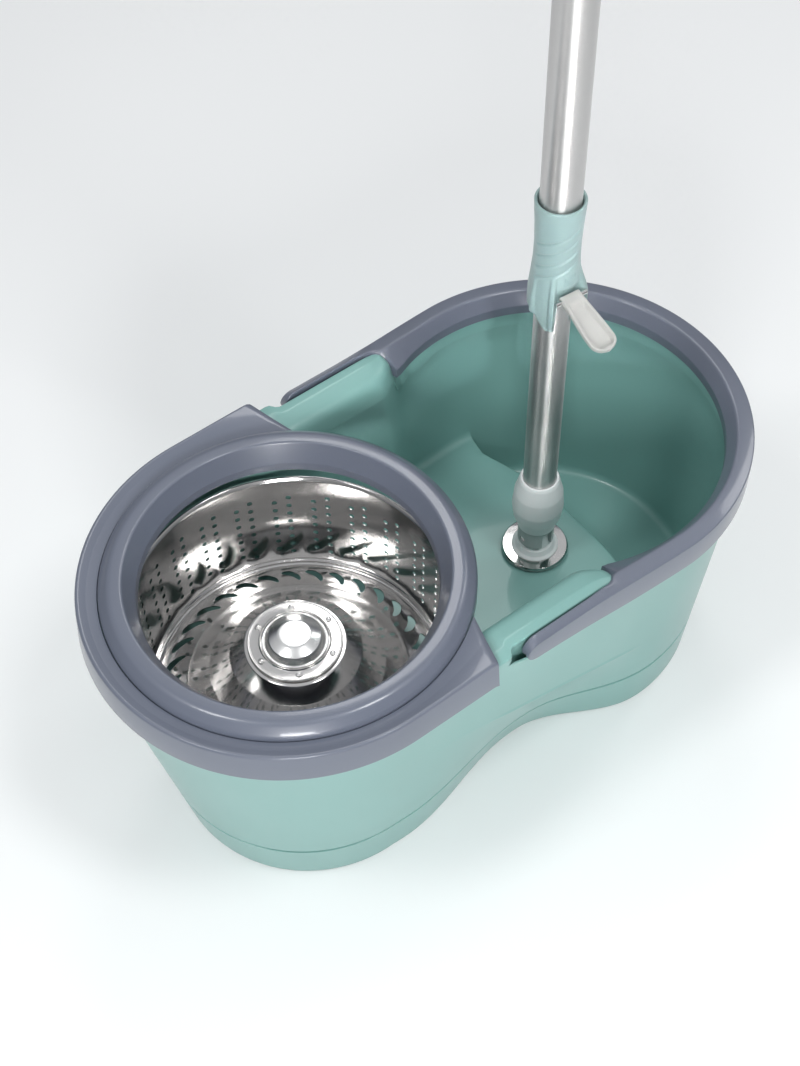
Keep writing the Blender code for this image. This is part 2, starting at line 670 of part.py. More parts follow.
def make_knuckle():
    centre = (MOP_X, 0)
    fork = ((0, 91.6), (FORK_R - 0.8, 91.6), (FORK_R, 92.6), (FORK_R, BULB_Z - GAP), (8.8, BULB_Z - GAP))
    fork += ((8.8, 118.0), (0, 118.0))
    body = turned("knuckle_fork", fork, "grey_plastic", centre, 32, KNUCKLE_Z)
    slot_height = 107.0 - 90.0
    outline = ((-20, 0), (20, 0), (20, slot_height), (-20, slot_height))
    placing = Matrix.Translation((MOP_X, 0, 90.0)) @ ACROSS
    boolean(body, prism("guide_fork_slot", outline, BLADE_THICK + 0.8, placing, None))
    hole = rod_between(
        "guide_fork_hole", (MOP_X - 20, 0, KNUCKLE_Z), (MOP_X + 20, 0, KNUCKLE_Z), KNUCKLE_PIN_R + GAP, None
    )
    boolean(body, hole)
    bulb = ((0, 118.4), (9.1, 118.4), (9.1, BULB_Z), (13.9, BULB_Z), (14.6, 112.5), (17.4, 121.0))
    bulb += ((18.5, 130.0), (18.4, 137.0), (16.9, 148.0), (15.0, 157.0), (14.2, 161.0))
    bulb += ((12.3, 161.0), (12.3, TUBE_SEAT_Z))
    turned("bulb_collar", bulb + ((0, TUBE_SEAT_Z),), "grey_plastic", centre, 24)


def tube(name, radius, wall, low, high, material, segments=28):
    profile = ((radius - wall, low), (radius, low), (radius, high), (radius - wall, high))
    turned(name, profile, material, (MOP_X, 0), segments)


def make_pole():
    centre = (MOP_X, 0)
    tube("lower_tube", LOWER_TUBE_R, TUBE_WALL, TUBE_SEAT_Z + GAP, LOWER_TUBE_TOP, "steel")
    tube("upper_tube", UPPER_TUBE_R, UPPER_TUBE_R - UPPER_TUBE_BORE, UPPER_TUBE_Z, UPPER_TUBE_TOP, "steel")
    bore = ROD_SIDE / sqrt(2) + 0.4
    inner = LOWER_TUBE_R - TUBE_WALL - GAP
    top = LOWER_TUBE_TOP + GAP
    nut = ((bore, 722.0), (inner, 722.0), (inner, top), (11.8, top), (11.8, top + 4), (bore, top + 4))
    turned("drive_nut", nut, "white_plastic", centre, 24)
    turned(
        "guide_bush",
        ((6.0, top + 4.3), (12.0, top + 4.3), (12.0, top + 12), (6.0, top + 12)),
        "grey_plastic",
        centre,
        24,
    )
    anchor = ((0, 920.0), (bore, 920.0), (bore, ANCHOR_Z), (UPPER_TUBE_BORE - 0.2, ANCHOR_Z))
    anchor += ((UPPER_TUBE_BORE - 0.2, 930.0), (0, 930.0))
    turned("rod_anchor", anchor, "grey_plastic", centre, 24)
    make_twisted_rod()


def make_twisted_rod():
    """A square bar twisted evenly; pressing the handle down it turns the lower tube."""
    steps = 72
    loops = []
    for k in range(steps + 1):
        z = ROD_Z + (ROD_TOP - ROD_Z) * k / steps
        twist = 2 * pi * (z - ROD_Z) / ROD_LEAD
        corner = ROD_SIDE / sqrt(2)
        turns = [twist + pi / 2 * j for j in range(4)]
        loops.append([(MOP_X + corner * cos(t), corner * sin(t), z) for t in turns])
    loft("twisted_rod", loops, "steel")


def make_sleeve():
    """The lock sleeve: a flared grip round the tubes with two fins that hold the lever's pin."""
    bore_low, bore_high = LOWER_TUBE_R + 0.3, UPPER_TUBE_R + GAP
    seat = UPPER_TUBE_Z - 0.6
    profile = ((0, SLEEVE_Z + 6), (16.8, SLEEVE_Z + 6), (18.6, 338.0), (18.4, 348.0), (16.0, 362.0))
    profile += ((14.6, 374.0), (14.3, 388.0), (15.0, 404.0), (15.9, SLEEVE_TOP - 1), (15.3, SLEEVE_TOP))
    profile += ((0, SLEEVE_TOP),)
    sleeve = turned("lock_sleeve", profile, "mint_plastic", (MOP_X, 0), 28)
    turn = Matrix.Translation((MOP_X, 0, 0)) @ Matrix.Rotation(radians(LEVER_AZIMUTH), 4, "Z")
    upright = Matrix(((1, 0, 0, 0), (0, 0, -1, 0), (0, 1, 0, 0), (0, 0, 0, 1)))
    window = ((13.05, SLEEVE_Z - 2), (30, SLEEVE_Z - 2), (30, 361), (13.5, 358))
    cutter = prism("guide_lever_window", window, LEVER_WIDTH + 1.0, turn @ upright, None)
    fin = ((7, SLEEVE_Z), (12, SLEEVE_Z - 2), (18.0, 327), (20.8, 344), (20.9, 354), (18.6, 362))
    fin += ((14, 376), (7, 376))
    for side, name in ((-1, "left"), (1, "right")):
        place = turn @ Matrix.Translation((0, side * (LEVER_WIDTH / 2 + 2.3), 0)) @ upright
        boolean(sleeve, prism("guide_fin_" + name, fin, 3.4, place, None), "UNION")
    bore = turned(
        "guide_sleeve_bore",
        ((0, 300.0), (bore_low, 300.0), (bore_low, seat), (bore_high, seat), (bore_high, 430.0), (0, 430.0)),
        None,
        (MOP_X, 0),
        32,
    )
    boolean(sleeve, bore)
    boolean(sleeve, cutter)
    reach = LEVER_WIDTH / 2 + 3.6
    ends = [turn @ Vector((LEVER_PIVOT_OUT, side * reach, LEVER_PIVOT_Z)) for side in (-1, 1)]
    far = [turn @ Vector((LEVER_PIVOT_OUT, side * 30, LEVER_PIVOT_Z)) for side in (-1, 1)]
    boolean(sleeve, rod_between("guide_pin_hole", far[0], far[1], LEVER_PIN_R + GAP, None, 12))
    rod_between("lever_pin", ends[0], ends[1], LEVER_PIN_R, "steel", 12)
    make_lever(turn, upright)


def make_lever(turn, upright):
    """The flip lever, drawn hanging straight down from its eye and then swung out to its open place."""
    eye = 3.6
    outline = [(eye * cos(a), eye * sin(a)) for a in [radians(-60 + 30 * k) for k in range(9)]]
    outline += [(-2.6, -12), (-1.6, -LEVER_LENGTH + 8), (0.2, -LEVER_LENGTH), (2.6, -LEVER_LENGTH + 1)]
    outline += [(3.4, -LEVER_LENGTH + 8), (3.0, -12)]
    swing = Matrix.Translation((LEVER_PIVOT_OUT, 0, LEVER_PIVOT_Z)) @ Matrix.Rotation(
        radians(-LEVER_OPEN), 4, "Y"
    )
    pivot = turn @ Vector((LEVER_PIVOT_OUT, 0, LEVER_PIVOT_Z))
    lever = prism("lock_lever", outline, LEVER_WIDTH, turn @ swing @ upright, "white_plastic", pivot)
    far = [turn @ Vector((LEVER_PIVOT_OUT, side * 30, LEVER_PIVOT_Z)) for side in (-1, 1)]
    boolean(lever, rod_between("guide_lever_eye", far[0], far[1], LEVER_PIN_R + 0.1, None, 12))


def make_handle_top():
    centre = (MOP_X, 0)
    bore = UPPER_TUBE_R + GAP
    grip = [(bore, GRIP_Z), (GRIP_R - 1, GRIP_Z), (GRIP_R, GRIP_Z + 3)]
    grip += [(GRIP_R, GRIP_TOP - 3), (GRIP_R - 1, GRIP_TOP), (bore, GRIP_TOP)]
    turned("grip", grip, "foam", centre, 24)
    plug = UPPER_TUBE_BORE - 0.2
    top = UPPER_TUBE_TOP + GAP
    cap = ((0, 1118.0), (plug, 1118.0), (plug, top), (15.0, top), (15.4, top + 6), (13.5, top + 16))
    body = turned("hang_cap", cap + ((9.0, top + 22), (0, top + 22)), "mint_plastic", centre, 24)
    outline = [(-11, -16), (11, -16)]
    outline += [(13 * cos(pi * k / 12), 12 + 13 * sin(pi * k / 12)) for k in range(13)]
    placing = Matrix.Translation((MOP_X, 0, top + 32)) @ ACROSS
    boolean(body, prism("guide_loop", outline, 8.0, placing, None), "UNION")
    hole = rod_between(
        "guide_loop_hole", (MOP_X - 20, 0, top + 43), (MOP_X + 20, 0, top + 43), 7.0, None
    )
    boolean(body, hole)


def main():
    clear_scene()
    make_bucket()
    make_deck()
    make_ring()
    make_basket()
    make_spindle_parts()
    make_bail()
    make_wash_turntable()
    make_foot()
    make_knuckle()
    make_pole()
    make_sleeve()
    make_handle_top()


main()
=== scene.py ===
"""The looks of a spin mop and its two-lobe bucket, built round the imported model.

Lengths are in millimetres in the object's own frame until mesh_piece() turns them into metres.
A corner is (across, height, rounding), and rounded() turns a list of them into a smooth outline.
"""

from collections import namedtuple
from math import atan2, cos, degrees, exp, hypot, pi, radians, sin, sqrt, tan

import bmesh
import bpy
from mathutils import Matrix, Vector


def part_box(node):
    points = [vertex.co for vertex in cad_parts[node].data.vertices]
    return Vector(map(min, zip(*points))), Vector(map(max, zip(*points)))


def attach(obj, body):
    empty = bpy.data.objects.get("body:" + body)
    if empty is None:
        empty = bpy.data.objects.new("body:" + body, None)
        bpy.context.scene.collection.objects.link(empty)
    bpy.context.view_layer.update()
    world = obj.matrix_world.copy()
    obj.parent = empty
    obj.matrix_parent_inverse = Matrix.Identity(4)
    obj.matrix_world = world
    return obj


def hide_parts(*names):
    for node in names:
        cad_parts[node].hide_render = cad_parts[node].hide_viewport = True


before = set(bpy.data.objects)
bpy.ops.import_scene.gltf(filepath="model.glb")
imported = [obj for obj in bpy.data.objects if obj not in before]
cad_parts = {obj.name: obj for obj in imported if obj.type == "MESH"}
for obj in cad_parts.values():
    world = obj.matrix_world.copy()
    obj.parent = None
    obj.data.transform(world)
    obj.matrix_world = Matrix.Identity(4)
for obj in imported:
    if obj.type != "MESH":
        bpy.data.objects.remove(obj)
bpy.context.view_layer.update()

MM = 0.001


def box_mm(node):
    low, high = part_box(node)
    return [v / MM for v in low], [v / MM for v in high]


def centre_mm(node):
    low, high = box_mm(node)
    return (low[0] + high[0]) / 2, (low[1] + high[1]) / 2


BAIL_LOW, BAIL_HIGH = box_mm("bail_handle")
SLEEVE_LOW, SLEEVE_HIGH = box_mm("lock_sleeve")
GRIP_LOW, GRIP_HIGH = box_mm("grip")
BASKET = centre_mm("spin_basket")
POLE = centre_mm("lower_tube")
BASKET_X = BASKET[0]
MOP_X = POLE[0]

# Bucket
BODY_TOP = 212.0
TOP_LEFT_R, BASE_LEFT_R = 131.5, 98.0
TOP_RIGHT_R, BASE_RIGHT_R = 133.0, 112.0
DRIFT_LEFT, DRIFT_RIGHT = 4.0, 5.0
BAIL_R = BAIL_HIGH[1]
WELL_X = BAIL_HIGH[0] - BAIL_R
SHELF_Z, WELL_DEPTH, SHELF_R = 77.0, 52.0, 256.5
LEAST_GAP = 18.0
SKIN = 3.2
UNDERSIDE_START = 12
LEDGE_Z, LEDGE_IN = 191.0, 6.0
RIM_UNDER_BAIL = 198.0
WAIST_X, WAIST_LEFT, WAIST_RIGHT, WAIST_IN = 20.0, 125.0, 85.0, 27.5
SHOULDER_END = 59.5
GROOVE_Z = 44.0
END_STEPS, SIDE_STEPS = 72, 84

# Deck, ring and basket
DECK_R, DECK_Z = 134.8, 226.5
DECK_HOLE_R, DECK_HOLE_Z = 121.2, 222.3
DECK_END_X, DECK_END_ANGLE = -48.5, 52.0
WALL_TOP, WALL_LOW, WALL_R = 190.5, 101.5, 104
DRAIN_OUT_R, DRAIN_OUT_Z = 97.0, 98.6
DRAIN_IN_R, DRAIN_IN_Z = 78.0, 107.4
SHEET = 0.8
HOLE_GROUPS, HOLE_ROWS, HOLE_PITCH, HOLE_R = 24, 8, 8.6, 1.9
SLOTS, SLOT_LENGTH, SLOT_HALF, SLOT_SLANT, SLOT_BEND, SLOT_R = 33, 17.5, 2.6, 42.0, 2.2, 88.0
BASKET_PHASE = radians(8.7)
HUB_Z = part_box("hub_flange")[0][2] / MM

# Bail
PIVOT_X = BAIL_LOW[0] + 9.4
PIVOT_Z = 202.0
NOSE = 7.5
ARM_END_X = 59.4
BAND_IN_R = 119.0

# Mop
LEVER_AZIMUTH, LEVER_OPEN = -95.0, 77.0
LEVER_PIVOT_OUT, LEVER_PIVOT_Z = 17.2, 352.0
FINS = ((-136, 4.4), (-54, 4.4), (176, 1.7))
GRIP_GROOVES = (371.0, 379.5, 388.5, 397.5)

Station = namedtuple("Station", "end angle along side")


def ease(value, low, high):
    """0 below low, 1 above high and smooth between."""
    t = min(1.0, max(0.0, (value - low) / (high - low)))
    return t * t * (3 - 2 * t)


def mix(a, b, t):
    return a + (b - a) * t


def read_off(knots, value):
    """A value read off a list of (place, value) knots, which fall or rise steadily in place."""
    rows = sorted(knots)
    if value <= rows[0][0]:
        return rows[0][1]
    for (p1, v1), (p2, v2) in zip(rows, rows[1:]):
        if value <= p2:
            return mix(v1, v2, (value - p1) / (p2 - p1))
    return rows[-1][1]


# ---------------------------------------------------------------- camera, light and floor


def make_camera():
    data = bpy.data.cameras.new("view")
    data.lens = 58.89
    data.sensor_width = 36.0
    data.clip_end = 30.0
    azimuth, elevation, roll = radians(36.33), radians(52.75), radians(-1.47)
    forward = Vector((sin(azimuth) * cos(elevation), cos(azimuth) * cos(elevation), -sin(elevation)))
    right = Vector((cos(azimuth), -sin(azimuth), 0))
    up = right.cross(forward)
    side = right * cos(roll) + up * sin(roll)
    top = up * cos(roll) - right * sin(roll)
    camera = bpy.data.objects.new("view", data)
    turn = Matrix((side, top, -forward)).transposed().to_4x4()
    camera.matrix_world = Matrix.Translation((-0.43844, -0.56682, 1.12067)) @ turn
    bpy.context.collection.objects.link(camera)
    bpy.context.scene.camera = camera


def make_light(name, azimuth, elevation, distance, size, power, stretch=1.0, aim=(0, 0, 0.15), spread=180):
    """A soft box that looks at the point aim; azimuth 0 is +X and 90 is +Y, and sizes are in metres."""
    data = bpy.data.lights.new(name, "AREA")
    data.shape = "RECTANGLE"
    data.size = size
    data.size_y = size * stretch
    data.energy = power
    data.spread = radians(spread)
    turn, lift = radians(azimuth), radians(elevation)
    away = Vector((cos(turn) * cos(lift), sin(turn) * cos(lift), sin(lift)))
    lamp = bpy.data.objects.new(name, data)
    lamp.location = Vector(aim) + away * distance
    lamp.visible_camera = False
    lamp.rotation_euler = away.to_track_quat("Z", "Y").to_euler()
    bpy.context.collection.objects.link(lamp)


def make_studio():
    """A dim pale room with a brighter ceiling, and six soft boxes; pole_box lights only the pole's middle."""
    scene = bpy.context.scene
    scene.view_settings.view_transform = "Standard"
    world = bpy.data.worlds.new("studio")
    scene.world = world
    world.use_nodes = True
    tree = world.node_tree
    where = tree.nodes.new("ShaderNodeTexCoord")
    parts = tree.nodes.new("ShaderNodeSeparateXYZ")
    ramp = tree.nodes.new("ShaderNodeMapRange")
    ramp.inputs["From Min"].default_value = 0.1
    ramp.inputs["From Max"].default_value = 0.9
    ramp.inputs["To Min"].default_value = 0.15
    ramp.inputs["To Max"].default_value = 0.60
    tree.links.new(where.outputs["Generated"], parts.inputs["Vector"])
    tree.links.new(parts.outputs["Z"], ramp.inputs["Value"])
    back = tree.nodes["Background"]
    tree.links.new(ramp.outputs["Result"], back.inputs["Strength"])
    back.inputs["Color"].default_value = (0.95, 0.97, 1.0, 1.0)
    make_light("left_box", 174, 62, 2.2, 0.36, 9, 1.6)
    make_light("front_box", -74, 66, 2.2, 0.36, 11, 1.6)
    make_light("right_box", 5, 45, 2.2, 0.36, 4, 1.6)
    make_light("back_box", 54, 56, 2.6, 0.55, 6)
    make_light("key", -124, 31, 1.3, 0.3, 8, 1.0, (-0.11, 0, 0.1))
    make_light("pole_box", -118, 14, 2.4, 0.24, 0.26, 2.0, (0.1, 0, 0.47), 11)


def make_floor():
    sheet = bmesh.new()
    bmesh.ops.create_grid(sheet, x_segments=8, y_segments=8, size=30.0)
    mesh = bpy.data.meshes.new("floor")
    sheet.to_mesh(mesh)
    sheet.free()
    floor = bpy.data.objects.new("floor", mesh)
    floor.location = (0, 0, -0.0004)
    bpy.context.collection.objects.link(floor)
    made, shader = new_material("floor_paper")
    shader.inputs["Base Color"].default_value = (0.90, 0.91, 0.91, 1.0)
    shader.inputs["Roughness"].default_value = 0.9
    mesh.materials.append(made)


# ---------------------------------------------------------------- finishes


def new_material(name):
    made = bpy.data.materials.new(name)
    made.use_nodes = True
    return made, made.node_tree.nodes["Principled BSDF"]


class Nodes:
    """Short ways to add and join the nodes of one material."""

    def __init__(self, made):
        self.tree = made.node_tree
        self.where = self.add("ShaderNodeTexCoord").outputs["Object"]

    def add(self, kind, **values):
        node = self.tree.nodes.new(kind)
        for key, value in values.items():
            setattr(node, key, value)
        return node

    def join(self, start, end):
        self.tree.links.new(start, end)

    def noise(self, scale, detail=2.0, stretch=(1, 1, 1), rough=0.5):
        place = self.add("ShaderNodeMapping")
        place.inputs["Scale"].default_value = stretch
        self.join(self.where, place.inputs["Vector"])
        made = self.add("ShaderNodeTexNoise")
        made.inputs["Scale"].default_value = scale
        made.inputs["Detail"].default_value = detail
        made.inputs["Roughness"].default_value = rough
        self.join(place.outputs["Vector"], made.inputs["Vector"])
        return made.outputs["Fac"]

    def spread(self, source, low, high):
        """A noise's usual range, 0.3 to 0.7, spread over low to high."""
        made = self.add("ShaderNodeMapRange", clamp=False)
        made.inputs["From Min"].default_value = 0.3
        made.inputs["From Max"].default_value = 0.7
        made.inputs["To Min"].default_value = low
        made.inputs["To Max"].default_value = high
        self.join(source, made.inputs["Value"])
        return made.outputs["Result"]

    def blend(self, amount, first, second):
        made = self.add("ShaderNodeMix", data_type="RGBA", clamp_factor=False)
        self.join(amount, made.inputs["Factor"])
        made.inputs[6].default_value = (*first, 1.0)
        made.inputs[7].default_value = (*second, 1.0)
        return made.outputs[2]

    def bump(self, height, strength, distance, under=None):
        made = self.add("ShaderNodeBump")
        made.inputs["Strength"].default_value = strength
        made.inputs["Distance"].default_value = distance
        self.join(height, made.inputs["Height"])
        if under:
            self.join(under, made.inputs["Normal"])
        return made.outputs["Normal"]


def scaled(colour, amount):
    return tuple(min(1.0, c * amount) for c in colour)


def plastic(name, colour, roughness, coat=0.0, cloud=0.06, grain=0.03, translucent=0.0):
    """Moulded plastic: faint clouds in the colour, flow marks in the gloss and a very fine skin texture."""
    made, shader = new_material(name)
    nodes = Nodes(made)
    clouds = nodes.noise(9.0, 1.0)
    tone = nodes.blend(nodes.spread(clouds, 0.0, 1.0), scaled(colour, 1 - cloud), scaled(colour, 1 + cloud))
    nodes.join(tone, shader.inputs["Base Color"])
    marks = nodes.noise(22.0, 1.0, (1.0, 1.0, 0.4))
    nodes.join(nodes.spread(marks, roughness - 0.03, roughness + 0.03), shader.inputs["Roughness"])
    skin = nodes.bump(nodes.noise(260.0, 1.0), grain, 0.0002)
    nodes.join(skin, shader.inputs["Normal"])
    shader.inputs["Coat Weight"].default_value = coat
    shader.inputs["Coat Roughness"].default_value = 0.08
    shader.inputs["IOR"].default_value = 1.49
    if translucent:
        shader.inputs["Subsurface Weight"].default_value = translucent
        shader.inputs["Subsurface Radius"].default_value = (0.006, 0.008, 0.008)
        shader.inputs["Subsurface Scale"].default_value = 0.5
    return made


def metal(name, colour, roughness, stretch, wobble=0.0, lines=0.10, drawn=0.0):
    """Polished metal: fine polishing lines along one way, faint smears, and a slight unevenness."""
    made, shader = new_material(name)
    nodes = Nodes(made)
    smears = nodes.noise(18.0, 5.0, (1, 1, 1), 0.65)
    tone = nodes.blend(nodes.spread(smears, 0.0, 1.0), scaled(colour, 0.90), scaled(colour, 1.04))
    nodes.join(tone, shader.inputs["Base Color"])
    nodes.join(nodes.spread(smears, roughness * 0.88, roughness * 1.14), shader.inputs["Roughness"])
    shader.inputs["Metallic"].default_value = 1.0
    if drawn:
        around = nodes.add("ShaderNodeTangent", direction_type="RADIAL", axis="Z")
        nodes.join(around.outputs["Tangent"], shader.inputs["Tangent"])
        shader.inputs["Anisotropic"].default_value = drawn
        shader.inputs["Anisotropic Rotation"].default_value = 0.25
    hills = nodes.bump(nodes.noise(24.0, 2.0), wobble, 0.0012) if wobble else None
    polish = nodes.bump(nodes.noise(60.0, 4.0, stretch, 0.6), lines, 0.0002, hills)
    nodes.join(polish, shader.inputs["Normal"])
    return made


def foam(name, colour):
    """Closed-cell foam: fine pores over a matt skin."""
    made, shader = new_material(name)
    nodes = Nodes(made)
    cells = nodes.add("ShaderNodeTexVoronoi")
    cells.inputs["Scale"].default_value = 900.0
    nodes.join(nodes.where, cells.inputs["Vector"])
    clouds = nodes.noise(30.0, 4.0)
    tone = nodes.blend(nodes.spread(clouds, 0.0, 1.0), scaled(colour, 0.8), scaled(colour, 1.25))
    nodes.join(tone, shader.inputs["Base Color"])
    nodes.join(nodes.bump(cells.outputs["Distance"], 0.5, 0.0004), shader.inputs["Normal"])
    shader.inputs["Roughness"].default_value = 0.85
    return made


def make_finishes():
    steel = (0.78, 0.77, 0.755)
    return {
        "mint": plastic("mint_moulding", (0.205, 0.400, 0.372), 0.37, 0.25, 0.03),
        "slate": plastic("slate_moulding", (0.125, 0.142, 0.186), 0.33, 0.5, 0.04),
        "grey": plastic("grey_moulding", (0.42, 0.47, 0.465), 0.45, 0.0, 0.05),
        "frost": plastic("frosted_collar", (0.76, 0.80, 0.80), 0.42, 0.0, 0.04, 0.02, 0.2),
        "white": plastic("white_moulding", (0.45, 0.45, 0.43), 0.37, 0.1, 0.04),
        "sleeve": plastic("sleeve_moulding", (0.28, 0.40, 0.395), 0.37, 0.1, 0.04),
        "tube": metal("polished_tube", (0.74, 0.73, 0.72), 0.34, (1.0, 1.0, 60.0), 0.0, 0.04, 0.95),
        "sheet": metal("pressed_sheet", (0.70, 0.69, 0.68), 0.12, (1.0, 1.0, 40.0), 0.22, 0.06),
        "mirror": metal("mirror_disc", steel, 0.10, (1.0, 1.0, 1.0), 0.06, 0.02),
        "chrome": metal("chromed_moulding", (0.90, 0.90, 0.89), 0.21, (1.0, 1.0, 1.0), 0.05, 0.03),
        "small_steel": metal("turned_steel", steel, 0.20, (1.0, 1.0, 30.0), 0.0, 0.12),
        "foam": foam("grip_foam", (0.085, 0.09, 0.105)),
    }


# ---------------------------------------------------------------- shapes


def mesh_piece(name, points, faces, finish, body, slot, stands_for, sharp=40.0, about=(0, 0, 0), thickness=0):
    """A piece from points in millimetres, with its own origin at the point given."""
    shape = bmesh.new()
    origin = Vector(about)
    verts = [shape.verts.new((Vector(p) - origin) * MM) for p in points]
    for face in faces:
        shape.faces.new([verts[k] for k in face])
    bmesh.ops.remove_doubles(shape, verts=shape.verts, dist=1e-6)
    bmesh.ops.recalc_face_normals(shape, faces=shape.faces)
    mesh = bpy.data.meshes.new(name)
    shape.to_mesh(mesh)
    shape.free()
    if thickness:
        mesh = thickened(mesh, thickness)
    mesh.shade_smooth()
    mesh.set_sharp_from_angle(angle=radians(sharp))
    item = bpy.data.objects.new(name, mesh)
    item.location = origin * MM
    bpy.context.collection.objects.link(item)
    mesh.materials.append(FINISH[finish])
    bpy.context.view_layer.update()
    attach(item, body)
    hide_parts(*stands_for)


def thickened(mesh, thickness):
    """The same sheet with a real thickness behind it."""
    holder = bpy.data.objects.new("holder", mesh)
    bpy.context.collection.objects.link(holder)
    thick = holder.modifiers.new("thickness", "SOLIDIFY")
    thick.thickness = thickness * MM
    thick.offset = -1.0
    bpy.context.view_layer.update()
    made = bpy.data.meshes.new_from_object(holder.evaluated_get(bpy.context.evaluated_depsgraph_get()))
    bpy.data.objects.remove(holder)
    return made


def rounded(corners, closed=False, steps=5):
    """The outline through (across, height, rounding) corners, with each corner rounded off."""
    outline = []
    count = len(corners)
    for k, (u, v, rounding) in enumerate(corners):
        at_end = not closed and k in (0, count - 1)
        if at_end or rounding == 0:
            outline.append((u, v))
            continue
        here = Vector((u, v))
        back = Vector(corners[k - 1][:2]) - here
        on = Vector(corners[(k + 1) % count][:2]) - here
        turn = max(0.02, back.angle(on, pi)) / 2
        reach = max(rounding / tan(turn), 0.05) if turn < 1.55 else 0.05
        start = here + back * min(0.45, reach / max(back.length, 0.01))
        stop = here + on * min(0.45, reach / max(on.length, 0.01))
        for j in range(steps + 1):
            t = j / steps
            point = start * (1 - t) ** 2 + here * 2 * t * (1 - t) + stop * t * t
            outline.append((point.x, point.y))
    return outline


def quads(loops, ring):
    """The quads between closed loops of equal length, as indices into their joined points."""
    count = len(loops[0])
    faces = []
    for k in range(len(loops) if ring else len(loops) - 1):
        here, there = k * count, (k + 1) % len(loops) * count
        for j in range(count):
            after = (j + 1) % count
            faces.append((here + j, here + after, there + after, there + j))
    return faces


def loft(name, loops, *facts, ring=False, **more):
    """A body through closed loops of equal length, capped at both ends or closed into a ring."""
    faces = quads(loops, ring)
    points = [p for loop in loops for p in loop]
    if not ring:
        count = len(loops[0])
        faces.append(tuple(range(count)))
        faces.append(tuple(len(points) - count + j for j in range(count)))
    mesh_piece(name, points, faces, *facts, **more)


def turned(name, corners, centre, *facts, segments=128, steps=5, **more):
    """A body of revolution about an upright axis. A profile that starts on the axis is a plug, any
    other is a closed ring."""
    plug = corners[0][0] == 0
    profile = rounded(corners, not plug, steps)
    points, rows = [], []
    for radius, z in profile:
        places = 1 if radius < 1e-6 else segments
        rows.append([len(points) + k for k in range(places)])
        for k in range(places):
            turn = 2 * pi * k / segments
            points.append((centre[0] + radius * cos(turn), centre[1] + radius * sin(turn), z))
    pairs = list(zip(rows, rows[1:]))
    if not plug:
        pairs.append((rows[-1], rows[0]))
    faces = []
    for low, high in pairs:
        for k in range(segments):
            after = (k + 1) % segments
            ends = (low[k % len(low)], low[after % len(low)], high[after % len(high)], high[k % len(high)])
            face = tuple(dict.fromkeys(ends))
            if len(face) > 2:
                faces.append(face)
    mesh_piece(name, points, faces, *facts, about=(centre[0], centre[1], 0), **more)


# ---------------------------------------------------------------- bucket


def stations():
    """The places round the bucket, from the basket end's back over its left side to the front."""
    places = []
    for k in range(END_STEPS + 1):
        places.append(Station(0, pi / 2 + pi * k / END_STEPS, 0.0, 0))
    for k in range(1, SIDE_STEPS):
        places.append(Station(None, 0.0, k / SIDE_STEPS, -1))
    for k in range(END_STEPS + 1):
        places.append(Station(1, -pi / 2 + pi * k / END_STEPS, 1.0, 0))
    for k in range(1, SIDE_STEPS):
        places.append(Station(None, 0.0, 1 - k / SIDE_STEPS, 1))
    return places


def along_x(s):
    """Where along the bucket a station is, near enough at any height."""
    if s.end == 0:
        return BASKET_X + TOP_LEFT_R * cos(s.angle)
    if s.end == 1:
        return WELL_X + TOP_RIGHT_R * cos(s.angle)
    return mix(BASKET_X, WELL_X, s.along)


def ridge_height(x):
    """The soft ridge over the waist falls a little towards the well."""
    return 108.5 - 0.265 * (min(105.0, max(-70.0, x)) - 33.5)


def pinch(s, z):
    """How far the waist draws the wall in below the ridge, less the small bead along the ridge itself."""
    x = along_x(s)
    reach = WAIST_LEFT if x < WAIST_X else WAIST_RIGHT
    share = min(1.0, abs(x - WAIST_X) / reach)
    below = 1 - z / ridge_height(x)
    soft = (below + sqrt(below * below + 0.0001)) / 2
    bead = 0.9 * exp(-((z - ridge_height(x)) / 1.3) ** 2) * ease(x, -45, -20) * (1 - ease(x, 70, 100))
    return WAIST_IN * cos(pi / 2 * share) ** 2 * soft * (1.35 - 0.35 * min(1.0, soft)) - bead


def wall_point(s, z, inset, pinched=True):
    """A point of the outer wall at a height, moved in by inset, with or without the waist's pinch."""
    up = z / BODY_TOP
    left = BASKET_X + DRIFT_LEFT * (1 - up), mix(BASE_LEFT_R, TOP_LEFT_R, up)
    right = WELL_X + DRIFT_RIGHT * (1 - up), mix(BASE_RIGHT_R, TOP_RIGHT_R, up)
    if s.end is not None:
        middle, radius = right if s.end else left
        return (middle + (radius - inset) * cos(s.angle), (radius - inset) * sin(s.angle), z)
    half = mix(left[1], right[1], s.along) - inset - (pinch(s, z) if pinched else 0.0)
    return (mix(left[0], right[0], s.along), s.side * half, z)


def shoulder(x):
    """1 along the shoulders, 0 round both ends."""
    return ease(x, -105, -45) * (1 - ease(x, 38, 78))


def inner_inset(x, z):
    """How far inside the outer wall's line, without its waist, the inside of the bucket is."""
    rim = read_off(((SHELF_Z - WELL_DEPTH, 3.0), (100.0, 3.2), (150.0, 5.0), (200.0, 7.8)), z)
    extra = read_off(((25.0, 12.0), (77.0, 16.9), (100.0, 17.7), (150.0, 20.3), (200.0, 23.4)), z)
    return rim + extra * shoulder(x)


def ledge_share(s):
    """1 where the bail's arm lies in its ledge, 0 elsewhere."""
    if s.end is not None:
        return 0.0
    x = along_x(s)
    return ease(x, -36, -30) * (1 - ease(x, 66, 86))


